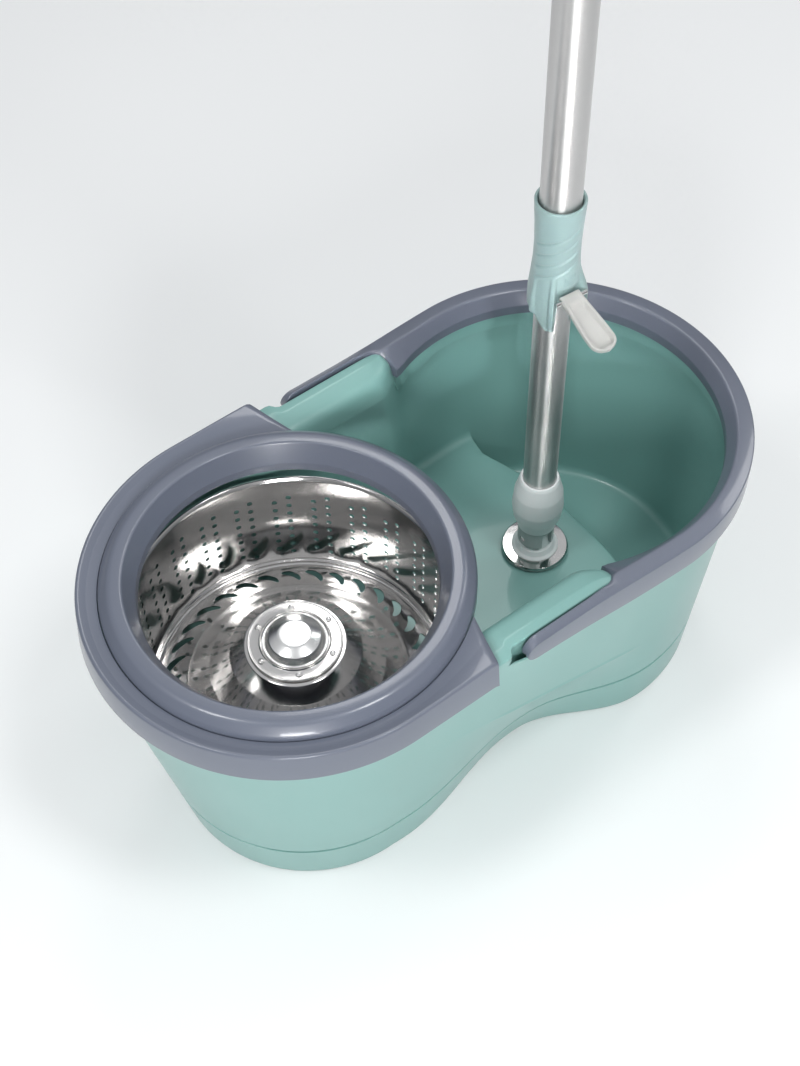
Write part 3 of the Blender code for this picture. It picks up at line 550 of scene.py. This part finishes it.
def rim_drop(s):
    """How far the rim lies below the shoulders' height, under the bail's band."""
    x = along_x(s)
    if s.end == 0:
        return 0.0
    if s.end == 1:
        return BODY_TOP - RIM_UNDER_BAIL
    deep = BODY_TOP - LEDGE_Z + 0.5
    fall = deep * ease(x, SHOULDER_END - 4, SHOULDER_END + 5)
    return fall - (deep - BODY_TOP + RIM_UNDER_BAIL) * ease(x, 86, 108)


def outside_points(s):
    """From the foot up to the ledge."""
    x = along_x(s)
    ridge = ridge_height(x)
    foot = ((5.0, 0.0), (1.8, 0.0), (0.7, 0.4), (0.15, 1.2), (0.0, 2.4))
    points = [wall_point(s, z, inset) for inset, z in foot]
    points += [wall_point(s, z, 0.0) for z in (9.0, 18.0, 27.0, 36.0, GROOVE_Z - 2.3, GROOVE_Z - 1.7)]
    for inset, dz in ((1.2, -1.3), (2.3, -0.9), (2.3, 0.9), (1.2, 1.3), (0.0, 1.7)):
        points.append(wall_point(s, GROOVE_Z + dz, inset))
    low, high = GROOVE_Z + 1.7, ridge - 5
    points += [wall_point(s, mix(low, high, k / 12), 0.0) for k in range(1, 13)]
    points += [wall_point(s, ridge + dz, 0.0) for dz in (-3.2, -1.8, -0.6, 0.6, 1.8, 4.0)]
    lip = ledge_height(x)
    points += [wall_point(s, mix(ridge + 4, lip - 3, k / 6), 0.0) for k in range(1, 7)]
    share = ledge_share(s)
    dip = 10.0 * ease(x, -36, -29) * (1 - ease(x, -12, 2))
    for dz, inset in ((-1.2, 0.0), (-0.4, 0.3), (0.0, 1.0)):
        points.append(wall_point(s, lip + dz, inset * share))
    for dz, inset in ((-0.2, 1.7), (-0.9, 3.0), (-1.0, 4.8), (-0.8, 5.7), (0.0, 6.0)):
        points.append(wall_point(s, lip + dz * dip, inset * share))
    return points


def ledge_height(x):
    """The outer wall's top edge, which rises round the arm's nose and runs down below the band."""
    round_nose = ((-62, 200), (-50, 207), (-37, 207.5), (-32, 205.5), (-27, 202.5), (-21, 200))
    return read_off(round_nose + ((-12, 198.5), (60, 191.5), (120, LEDGE_Z - 1)), x)


def rim_points(s):
    """From the ledge over the rim or the shoulder to the inside."""
    x = along_x(s)
    wide = shoulder(x)
    outer = LEDGE_IN * ledge_share(s)
    top = BODY_TOP - 1.0 - rim_drop(s)
    crest = max(4.5 + 23.0 * wide, outer + 3.5)
    low = top - 12
    inside = max(inner_inset(x, 200.0), outer + 6.0)
    bottom = max(ledge_height(x) + 2.6, top - 8) if rim_drop(s) < 5 else top - 3.5
    corners = (
        (outer, bottom, 0),
        (outer + 0.4, top + 5.4 * wide, 2.0),
        (mix(outer, crest, 0.35), top + 5.9 * wide, 3 + 5 * wide),
        (mix(crest, inside, 0.3), top + 3.0 * wide, 3 + 9 * wide),
        (inside, low, 0),
    )
    return [wall_point(s, z, inset, False) for inset, z in rounded(corners, False, 8)]


def shelf_gap(s):
    """How far from the inner wall the raised floor's edge is: an arc about the basket crosses the well."""
    if s.end != 1:
        return LEAST_GAP
    wall = wall_point(s, SHELF_Z, inner_inset(along_x(s), SHELF_Z), False)
    across = WELL_X - BASKET_X
    arc = sqrt(SHELF_R ** 2 - (across * sin(s.angle)) ** 2) - across * cos(s.angle)
    return max(LEAST_GAP, hypot(wall[0] - WELL_X, wall[1]) - arc)


def moat_depth(s):
    """How far the floor at the inner wall's foot lies below the raised floor."""
    return WELL_DEPTH * ease(shelf_gap(s), 19.0, 30.0)


def floor_points(s, drop):
    """From the inner wall's foot over the well's floor to the raised floor; drop gives the underside."""
    x = along_x(s)
    gap = shelf_gap(s)
    deep = moat_depth(s) / WELL_DEPTH
    floor = SHELF_Z - moat_depth(s) - drop
    shift = -drop * 0.8
    top = SHELF_Z - drop
    corners = (
        (shift, floor + 16, 0),
        (shift, floor, 7),
        (gap - 9 * deep + shift, floor, 7),
        (gap + drop * deep, top, 5),
        (gap + 14, top, 0),
    )
    points = []
    for inset, z in rounded(corners, False, 7):
        points.append(wall_point(s, z, inner_inset(x, z) + inset, False))
    return points


def inside_points(s):
    """Down the inner wall from the rim to the floor's rounding."""
    x = along_x(s)
    top = BODY_TOP - 15.0 - rim_drop(s)
    low = SHELF_Z - moat_depth(s) + 17
    points = []
    for k in range(9):
        z = mix(top, low, k / 8)
        outer = LEDGE_IN * ledge_share(s) * ease(z, 176, 190)
        points.append(wall_point(s, z, max(inner_inset(x, z), outer + 3.0), False))
    return points


def under_points(s):
    """Up the inside of the foot to the hollow's ceiling."""
    ceiling = SHELF_Z - moat_depth(s) - SKIN
    rows = [(5.0, 0.4), (4.2, 1.4)] + [(4.0, mix(3.0, ceiling - 1, k / 8)) for k in range(1, 9)]
    return [wall_point(s, z, inset) for inset, z in rows]


def make_bucket():
    """One closed loft; a section runs over the floor, the inside, the rim, the outside and the hollow."""
    sections = []
    for s in stations():
        top = outside_points(s) + rim_points(s) + inside_points(s) + floor_points(s, 0.0)
        under = under_points(s) + floor_points(s, SKIN)[UNDERSIDE_START:]
        sections.append(top[::-1] + under)
    loops = [list(loop) for loop in zip(*sections)]
    loft("bucket", loops, "mint", "bucket", "mint_plastic", ("bucket_shell",), sharp=50)


def make_deck():
    """The C-shaped cover: a skirt, a crisp crease and a top that falls to the splash ring."""
    steps, round_steps = 30, 96
    spans = []
    for k in range(steps + 1):
        part = k / steps
        inner = -DECK_END_ANGLE - (90 - DECK_END_ANGLE) * part
        spans.append((inner, (DECK_END_X - BASKET_X) * (1 - part), -90))
    for k in range(1, round_steps):
        angle = -90 - 180 * k / round_steps
        spans.append((angle, 0.0, angle))
    spans += [(-360 - inner, shift, -270) for inner, shift, _ in spans[steps::-1]]
    loops = []
    last = len(spans) - 1
    for k, (inner, shift, outer) in enumerate(spans):
        roll = max(0.0, 1 - min(k, last - k) / 2.0)
        loops.append(deck_section(radians(inner), shift, radians(outer), roll))
    loft("deck", loops, "slate", "bucket", "slate_plastic", ("basket_deck",), sharp=50)


def deck_section(inner, shift, outer, roll):
    """One section of the cover; roll turns its very end down."""
    out = Vector((BASKET_X + shift + DECK_R * cos(outer), DECK_R * sin(outer)))
    hole = Vector((BASKET_X + DECK_HOLE_R * cos(inner), DECK_HOLE_R * sin(inner)))
    away = Vector((cos(outer), sin(outer)))
    width = (hole - out).length
    corners = (
        (-2.0, 203.2, 0.8),
        (0.0, DECK_Z, 2.2),
        (width * 0.5, (DECK_Z + DECK_HOLE_Z) / 2 - 0.4, 4),
        (width, DECK_HOLE_Z, 0.8),
        (width, DECK_HOLE_Z - 2.6, 0.5),
        (width * 0.5, (DECK_Z + DECK_HOLE_Z) / 2 - 3.0, 3),
        (2.6, DECK_Z - 3.2, 2),
        (0.9, 203.2, 0.5),
    )
    loop = []
    for across, z in rounded(corners, True, 4):
        if across < 0:
            spot = out - away * across
        else:
            spot = out + (hole - out) * (across / width)
        loop.append((spot.x, spot.y, z - 1.6 * roll * roll))
    return loop


def make_ring():
    corners = (
        (120.7, 213.2, 0.4),
        (120.8, 224.5, 6),
        (113.5, 230.9, 7),
        (104.8, 230.9, 2.2),
        (97.4, 217.5, 2.5),
        (96.5, 211.6, 0.6),
        (98.2, 211.6, 0.5),
        (100.0, 218.5, 2),
        (106.0, 228.4, 3),
        (112.5, 228.2, 5),
        (118.3, 222.5, 4),
        (118.3, 213.2, 0.4),
    )
    stands_for = ("splash_ring",)
    turned("ring", corners, BASKET, "slate", "bucket", "slate_plastic", stands_for, segments=224, steps=7)


# ---------------------------------------------------------------- spin basket


def floor_height(radius):
    """The height of the drain band, which rises towards the middle."""
    return read_off(((DRAIN_OUT_R, DRAIN_OUT_Z), (DRAIN_IN_R, DRAIN_IN_Z)), radius)


def wall_radius(z):
    return mix(102.9, 104.6, (z - WALL_LOW) / (WALL_TOP - WALL_LOW))


def basket_point(turn, radius, z):
    return (BASKET_X + radius * cos(turn + BASKET_PHASE), radius * sin(turn + BASKET_PHASE), z)


class Sheet:
    """A mesh whose points are shared wherever its cells meet."""

    def __init__(self):
        self.points = []
        self.faces = []
        self.known = {}

    def point(self, place):
        key = tuple(round(v, 3) for v in place)
        if key not in self.known:
            self.known[key] = len(self.points)
            self.points.append(tuple(place))
        return self.known[key]

    def face(self, places):
        corners = tuple(dict.fromkeys(self.point(p) for p in places))
        if len(corners) > 2:
            self.faces.append(corners)

    def bands(self, profile, turns, last_turns=None):
        """Plain bands of sheet through (radius, height) rows, with points at the given turns."""
        count = len(profile) - 1
        for k, ((r1, z1), (r2, z2)) in enumerate(zip(profile, profile[1:])):
            ends = last_turns if last_turns and k == count - 1 else turns
            for (a, b), (c, d) in zip(zip(turns, turns[1:]), zip(ends, ends[1:])):
                low = basket_point(a, r1, z1), basket_point(b, r1, z1)
                self.face((*low, basket_point(d, r2, z2), basket_point(c, r2, z2)))

    def collar(self, rim, hole):
        """Fills the band between a cell's rim and the hole in it, which have as many points."""
        for k in range(len(rim)):
            after = (k + 1) % len(rim)
            self.face((rim[k], rim[after], hole[after], hole[k]))


def cell_turns():
    """The turns that divide one group of the wall: two pierced columns and a plain one."""
    pierced, plain = radians(5.5), radians(4.0)
    turns = [pierced * k / 4 for k in range(5)]
    turns += [pierced + pierced * k / 4 for k in range(1, 5)]
    return turns + [2 * pierced + plain * k / 3 for k in range(1, 4)]


def full_turns():
    group = 2 * pi / HOLE_GROUPS
    return [group * g + t for g in range(HOLE_GROUPS) for t in cell_turns()[:-1]] + [2 * pi]


def wall_cell(sheet, turns, low, high, pierced):
    """One cell of the wall, with a drain hole in its middle or none."""
    steps = 4 if high - low > HOLE_PITCH * 0.75 else 2
    heights = [mix(low, high, k / steps) for k in range(steps + 1)]
    rim = [(t, low) for t in turns[:-1]] + [(turns[-1], z) for z in heights[:-1]]
    rim += [(t, high) for t in turns[:0:-1]] + [(turns[0], z) for z in heights[:0:-1]]
    spots = [basket_point(t, wall_radius(z), z) for t, z in rim]
    if not pierced:
        sheet.face(spots)
        return
    middle, height = (turns[0] + turns[-1]) / 2, (low + high) / 2
    hole = []
    for t, z in rim:
        way = atan2(z - height, (t - middle) * WALL_R)
        at = height + HOLE_R * sin(way)
        hole.append(basket_point(middle + HOLE_R * cos(way) / WALL_R, wall_radius(at), at))
    sheet.collar(spots, hole)


def make_wall(sheet):
    """The pierced wall; every second column starts half a step higher. Gives its lowest and highest lines."""
    low = WALL_LOW + 6.0
    high = low + HOLE_PITCH * HOLE_ROWS
    lines = [low + HOLE_PITCH * k for k in range(HOLE_ROWS + 1)]
    raised = [low] + [z + HOLE_PITCH / 2 for z in lines[:-1]] + [high]
    turns = cell_turns()
    for group in range(HOLE_GROUPS):
        start = 2 * pi * group / HOLE_GROUPS
        first = [start + t for t in turns[:5]]
        second = [start + t for t in turns[4:9]]
        plain = [start + t for t in turns[8:]]
        for a, b in zip(lines, lines[1:]):
            wall_cell(sheet, first, a, b, True)
            wall_cell(sheet, plain, a, b, False)
        for a, b in zip(raised, raised[1:]):
            wall_cell(sheet, second, a, b, b - a > HOLE_PITCH * 0.75)
    return low, high


def bent_power(value, power):
    return abs(value) ** power * (1 if value > 0 else -1)


def slot_outline(count):
    """A comma-shaped slot about its own middle: a broad round head, a bent body and a narrower tail."""
    outline = []
    for k in range(count):
        turn = 2 * pi * k / count
        along = bent_power(cos(turn), 0.6)
        across = SLOT_HALF * (1 - 0.25 * along) * bent_power(sin(turn), 0.8)
        outline.append((along * SLOT_LENGTH / 2, across + SLOT_BEND * (along * along - 0.5)))
    return outline


def floor_turns():
    return [2 * pi * k / (SLOTS * 8) for k in range(SLOTS * 8 + 1)]


def floor_slots(sheet):
    """The drain band: one comma-shaped slot in each of its cells."""
    inner, outer = DRAIN_IN_R, DRAIN_OUT_R
    slant = radians(SLOT_SLANT)
    turns = floor_turns()
    for cell in range(SLOTS):
        here = turns[8 * cell:8 * cell + 9]
        rim = [(t, inner) for t in here[:-1]] + [(here[-1], mix(inner, outer, k / 5)) for k in range(5)]
        rim += [(t, outer) for t in here[:0:-1]] + [(here[0], mix(outer, inner, k / 5)) for k in range(5)]
        shapes = []
        for along, across in slot_outline(len(rim)):
            tangent = along * cos(slant) - across * sin(slant)
            radial = along * sin(slant) + across * cos(slant)
            shapes.append((here[4] - tangent / SLOT_R, SLOT_R - radial))
        shapes = matched(rim, shapes, here[4])
        spots = [basket_point(t, r, floor_height(r)) for t, r in rim]
        hole = [basket_point(t, r, floor_height(r)) for t, r in shapes]
        sheet.collar(spots, hole)


def matched(rim, shapes, middle):
    """The slot's points turned round so that they lie as near as they can to the cell's own."""
    if area(shapes, middle) * area(rim, middle) < 0:
        shapes = shapes[::-1]
    best = None
    for lead in range(len(rim)):
        turned_on = shapes[lead:] + shapes[:lead]
        miss = sum(((a[0] - b[0]) * SLOT_R) ** 2 + (a[1] - b[1]) ** 2 for a, b in zip(rim, turned_on))
        if best is None or miss < best[0]:
            best = (miss, turned_on)
    return best[1]


def area(loop, middle):
    flat = [((t - middle) * SLOT_R, r) for t, r in loop]
    return sum(a[0] * b[1] - b[0] * a[1] for a, b in zip(flat, flat[1:] + flat[:1]))


def make_basket():
    """The basket as one sheet: rolled rim, pierced wall, beaded foot, slotted drain band and cone."""
    sheet = Sheet()
    low, high = make_wall(sheet)
    round_turns = full_turns()
    rim = rounded(((wall_radius(high), high, 0), (104.7, WALL_TOP - 1, 1.2), (106.6, 192.0, 1.6),
                   (108.9, 191.0, 1.4), (108.4, 188.2, 0.6), (107.4, 187.8, 0)), False, 5)
    fold = ((100.6, 98.2, 1.5), (101.8, 99.4, 0.6), (101.3, 101.2, 0.6))
    bead = ((102.8, 102.4, 0.6), (102.4, 104.4, 0.6))
    foot = rounded(((DRAIN_OUT_R, DRAIN_OUT_Z, 0), *fold, *bead, (wall_radius(low), low, 0)), False, 3)
    middle = [(DRAIN_IN_R, DRAIN_IN_Z), (76.5, 108.1)]
    middle += rounded(((76.0, 108.4, 0), (74.0, 110.9, 1.0), (60.0, 122.6, 14), (45.0, 138.6, 8),
                       (34.5, 147.2, 2), (30.0, 147.4, 1), (12.0, 147.4, 0)), False, 6)
    sheet.bands(rim, round_turns)
    sheet.bands(foot[::-1], round_turns, floor_turns())
    floor_slots(sheet)
    sheet.bands(middle, floor_turns())
    mesh_piece("basket", sheet.points, sheet.faces, "sheet", "basket", "stainless", ("spin_basket",),
               about=(BASKET_X, 0, 0), thickness=SHEET)


# ---------------------------------------------------------------- hub


def make_hub():
    flange = (
        (23.2, HUB_Z, 0),
        (31.6, HUB_Z, 0.4),
        (32.5, HUB_Z + 0.9, 0.5),
        (31.8, HUB_Z + 2.0, 0.6),
        (30.6, HUB_Z + 1.7, 0.4),
        (24.6, HUB_Z + 1.9, 0.4),
        (23.6, HUB_Z + 2.9, 0.4),
        (23.2, HUB_Z + 2.4, 0),
    )
    turned("hub_ring", flange, BASKET, "mirror", "basket", "stainless", ("hub_flange",))
    dome = (
        (0, HUB_Z, 0),
        (22.7, HUB_Z, 0.4),
        (22.7, HUB_Z + 2.8, 0.8),
        (21.7, HUB_Z + 3.0, 0.3),
        (21.3, HUB_Z + 2.4, 0.3),
        (20.7, HUB_Z + 3.4, 0.5),
        (18.4, HUB_Z + 7.2, 3.5),
        (11.0, HUB_Z + 10.0, 6),
        (0, HUB_Z + 10.3, 0),
    )
    turned("hub_cap", dome, BASKET, "chrome", "basket", "chromed_plastic", ("hub_dome",))
    for k in range(1, 7):
        node = "hub_rivet_%d" % k
        rivet = (
            (0, 142.0, 0),
            (1.2, 142.0, 0.2),
            (1.2, HUB_Z + 1.6, 0),
            (2.3, HUB_Z + 1.8, 0.3),
            (2.1, HUB_Z + 2.9, 0.7),
            (0, HUB_Z + 3.5, 0),
        )
        place = centre_mm(node)
        turned("rivet_%d" % k, rivet, place, "small_steel", "basket", "stainless", (node,), segments=32)


# ---------------------------------------------------------------- mop


def make_foot():
    disc = (
        (0, 80.1, 0),
        (23.6, 80.1, 0.4),
        (24.9, 80.8, 0.3),
        (23.6, 82.2, 0.2),
        (0, 82.3, 0),
    )
    turned("disc", disc, POLE, "mirror", "mop_foot", "stainless", ("foot_disc",))
    stub = (
        (0, 82.4, 0),
        (17.4, 82.4, 0.3),
        (16.9, 83.3, 0.5),
        (15.0, 84.6, 1.5),
        (13.2, 88.3, 0.8),
        (11.4, 88.9, 0.6),
        (10.4, 92.0, 1),
        (8.6, 103.6, 3),
        (5.0, 105.8, 2),
        (0, 106.0, 0),
    )
    turned("stub", stub, POLE, "frost", "mop_foot", "grey_plastic", ("foot_stub",), segments=64)


def make_pole():
    bulb = (
        (12.2, 110.0, 0.4),
        (13.9, 108.4, 0.8),
        (14.6, 112.5, 2),
        (17.5, 121.0, 8),
        (18.7, 131.5, 10),
        (17.6, 146.0, 8),
        (15.2, 155.2, 4),
        (14.5, 158.6, 1.0),
        (13.5, 161.0, 0.6),
        (12.1, 161.0, 0.2),
    )
    stands_for = ("bulb_collar",)
    turned("bulb", bulb, POLE, "frost", "lower_pole", "grey_plastic", stands_for, segments=96, steps=7)
    low, high = box_mm("lower_tube")
    tube = ((11.0, low[2], 0.2), (11.9, low[2], 0.2), (11.9, high[2], 0.2), (11.0, high[2], 0.2))
    turned("lower_pole_tube", tube, POLE, "tube", "lower_pole", "stainless", ("lower_tube",), segments=96)
    low, high = box_mm("upper_tube")
    tube = ((12.05, low[2], 0.2), (12.9, low[2], 0.2), (12.9, high[2], 0.2), (12.05, high[2], 0.2))
    turned("upper_pole_tube", tube, POLE, "tube", "handle", "stainless", ("upper_tube",), segments=96)


def sleeve_radius(z, turn):
    """The sleeve's outside at a height and an angle round it: waist, flare, fins, grip grooves and window."""
    knots = ((323, 14.8), (326, 15.4), (332, 16.4), (340, 16.9), (350, 16.8), (362, 15.7), (374, 14.7))
    radius = read_off(knots + ((388, 14.4), (404, 15.0), (420, 15.9)), z)
    for azimuth, height in FINS:
        gap = off_angle(turn, azimuth)
        reach = ease(z, 322, 334) * (1 - ease(z, 350, 374))
        radius += height * exp(-((gap / 6.5) ** 4)) * reach
    gap = off_angle(turn, -134)
    for low in GRIP_GROOVES:
        groove = exp(-(((z - low - 0.11 * gap) / 0.9) ** 4))
        radius -= 1.0 * groove * (1 - ease(abs(gap), 50, 62))
    gap = off_angle(turn, LEVER_AZIMUTH)
    hollow = (1 - ease(abs(gap), 31, 34)) * (1 - ease(z, 357, 360))
    boss = (1 - ease(abs(gap), 12, 15)) * ease(z, 361, 363) * (1 - ease(z, 368, 370))
    return radius - 3.2 * hollow + 1.0 * boss


def off_angle(turn, azimuth):
    """How far an angle is from an azimuth, in degrees either way."""
    return (degrees(turn) - azimuth + 180) % 360 - 180


def make_sleeve():
    """A tube whose foot is cut away under the lever and ends higher at the back."""
    low, high = SLEEVE_LOW[2] + 1, SLEEVE_HIGH[2]
    rows, columns = 170, 144
    loops = []
    for k in range(columns):
        turn = 2 * pi * k / columns
        gap = abs(off_angle(turn, LEVER_AZIMUTH))
        foot = mix(low + 14 * ease(gap, 50, 88), 345.0, 1 - ease(gap, 29, 32))
        heights = [max(foot, mix(low, high - 0.8, j / rows)) for j in range(rows + 1)]
        profile = [(sleeve_radius(z, turn), z) for z in heights]
        rim = profile[-1][0]
        profile += [(rim - 0.25, high - 0.25), (rim - 0.8, high)]
        profile += [(rim - 1.6, high - 0.2), (rim - 2.0, high - 0.9)]
        profile += [(13.3, high - 3), (13.2, foot + 12), (13.4, foot + 0.6), (13.9, foot - 0.6)]
        loops.append([(MOP_X + r * cos(turn), r * sin(turn), z) for r, z in profile])
    loft("sleeve", loops, "sleeve", "handle", "mint_plastic", ("lock_sleeve",), ring=True, sharp=35)


def make_lever():
    """The flip lever: a spoon with a raised rim, drawn from its hinge out to its round end."""
    out = Vector((cos(radians(LEVER_AZIMUTH)), sin(radians(LEVER_AZIMUTH)), 0))
    across = Vector((-out.y, out.x, 0))
    lift = radians(LEVER_OPEN)
    along = out * sin(lift) - Vector((0, 0, cos(lift)))
    front = out * cos(lift) + Vector((0, 0, sin(lift)))
    start = Vector((MOP_X, 0, LEVER_PIVOT_Z)) + out * LEVER_PIVOT_OUT
    loops = []
    for k in range(41):
        s = mix(-2.6, 42.0, k / 40)
        half = mix(7.3, 9.2, ease(s, 0, 30))
        tip = max(0.0, (s - 33.0) / 9.05)
        half *= sqrt(max(0.0, 1 - tip ** 2.4)) if tip else 1.0
        half = max(half, 0.6)
        dish = 3.1 * ease(s, 4.5, 8.5) * (1 - ease(s, 37.0, 39.8))
        rim = min(2.0, half * 0.4)
        deep = 4.4 if s > 4 else 5.2
        corners = (
            (-half, -deep + 1.2, 1.0),
            (-half, 0.0, 0.8),
            (-half + rim, 0.1, 0.5),
            (-half + rim * 1.6, -dish, 1.0),
            (half - rim * 1.6, -dish, 1.0),
            (half - rim, 0.1, 0.5),
            (half, 0.0, 0.8),
            (half, -deep + 1.2, 1.0),
        )
        bend = 1.2 * ease(s, 4, 30)
        outline = rounded(corners, True, 3)
        spots = [start + along * s + across * u + front * (v + 2.0 - bend) for u, v in outline]
        loops.append([tuple(p) for p in spots])
    pivot = (start.x, start.y, start.z)
    loft("lever", loops, "white", "lever", "white_plastic", ("lock_lever",), sharp=50, about=pivot)


def make_grip():
    low, high = GRIP_LOW[2], GRIP_HIGH[2]
    corners = [(13.0, low, 0.4), (15.2, low, 1.5)]
    ribs = 18
    for k in range(ribs):
        z = mix(low + 5, high - 5, k / ribs)
        step = (high - low - 10) / ribs
        corners += [(15.5, z + 0.2, 0.8), (15.5, z + step * 0.55, 0.8)]
        corners += [(14.7, z + step * 0.75, 0.6), (14.7, z + step * 0.85, 0.6)]
    corners += [(15.4, high - 4, 0.8), (15.2, high, 1.5), (13.0, high, 0.4)]
    turned("grip_foam", corners, POLE, "foam", "handle", "foam", ("grip",), segments=64, steps=3)


# ---------------------------------------------------------------- bail


def arm_edge(x):
    """How far from the middle plane the arm's inner edge is, before the band's circle takes over."""
    knots = ((-25.4, 127.6), (30.0, 127.6), (42.0, 127.0), (49.0, 125.6), (53.0, 123.0), (56.5, 118.0))
    return read_off(knots + ((58.6, 113.0), (59.6, 107.9)), x)


def bail_stations():
    """Pairs of outer and inner points in plan, from the front arm's nose round to the back arm's."""
    pairs = []
    steps = 90
    for k in range(steps + 1):
        x = mix(PIVOT_X - NOSE, ARM_END_X, k / steps)
        pairs.append(((x, -arm_outside(x)), (x, -arm_edge(x)), x))
    joint = pi / 2 + radians(25.1)
    for k in range(1, 101):
        turn = mix(-joint, joint, k / 101)
        inner = (WELL_X + BAND_IN_R * cos(turn), BAND_IN_R * sin(turn))
        if abs(turn) < pi / 2:
            outer = (WELL_X + BAIL_R * cos(turn), BAIL_R * sin(turn))
        else:
            outer = (inner[0], arm_outside(inner[0]) * (1 if turn > 0 else -1))
        pairs.append((outer, inner, inner[0]))
    back = [((o[0], -o[1]), (i[0], -i[1]), x) for o, i, x in pairs[:steps + 1]]
    return pairs + back[::-1]


def arm_outside(x):
    """The arm's outer face, which draws in a little towards the nose."""
    return mix(134.4, BAIL_R, ease(x, 20, 120))


def make_bail():
    loops = []
    for outer, inner, x in bail_stations():
        out, wall = Vector(outer), Vector(inner)
        width = (wall - out).length
        lap = ease(x, 40, 62)
        foot = mix(200.0, 193.6, ease(x, -30, 70))
        low = mix(foot + 1.0, 199.5, lap)
        corners = (
            (0.0, foot, 0.8),
            (0.0, 215.2, 0.9),
            (min(11.5, width * 0.8), mix(218.6, 216.8, lap), 3.0),
            (width - 0.4, mix(217.6, 207.0, lap), 1.6),
            (width, low, 0.6),
            (width - 1.4, low - 0.4, 0.4),
            (min(10.0, width * 0.6), 212.8, 3.0),
            (2.4, 212.4, 1.5),
            (2.4, foot - 0.2, 0.4),
        )
        nose = min(1.0, max(0.0, (x - PIVOT_X + NOSE + 0.05) / 9.0))
        squeeze = sqrt(max(0.02, nose * (2 - nose)))
        loop = []
        for across, z in rounded(corners, True, 4):
            spot = out + (wall - out) * (across / width)
            loop.append((spot.x, spot.y, 207.5 + (z - 207.5) * squeeze))
        loops.append(loop)
    pivot = (PIVOT_X, 0, PIVOT_Z)
    loft("bail_band", loops, "slate", "bail", "slate_plastic", ("bail_handle",), sharp=50, about=pivot)


def finish_hidden_parts():
    """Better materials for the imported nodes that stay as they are."""
    choice = {
        "mint_plastic": "mint",
        "slate_plastic": "slate",
        "grey_plastic": "grey",
        "white_plastic": "white",
        "stainless": "small_steel",
        "chromed_plastic": "chrome",
        "foam": "foam",
    }
    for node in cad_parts.values():
        for place in node.material_slots:
            finish = place.material.name.split(".")[0] if place.material else ""
            if finish in choice:
                place.material = FINISH[choice[finish]]


FINISH = make_finishes()
make_camera()
make_studio()
make_floor()
make_bucket()
make_deck()
make_ring()
make_basket()
make_hub()
make_foot()
make_pole()
make_sleeve()
make_lever()
make_grip()
make_bail()
finish_hidden_parts()
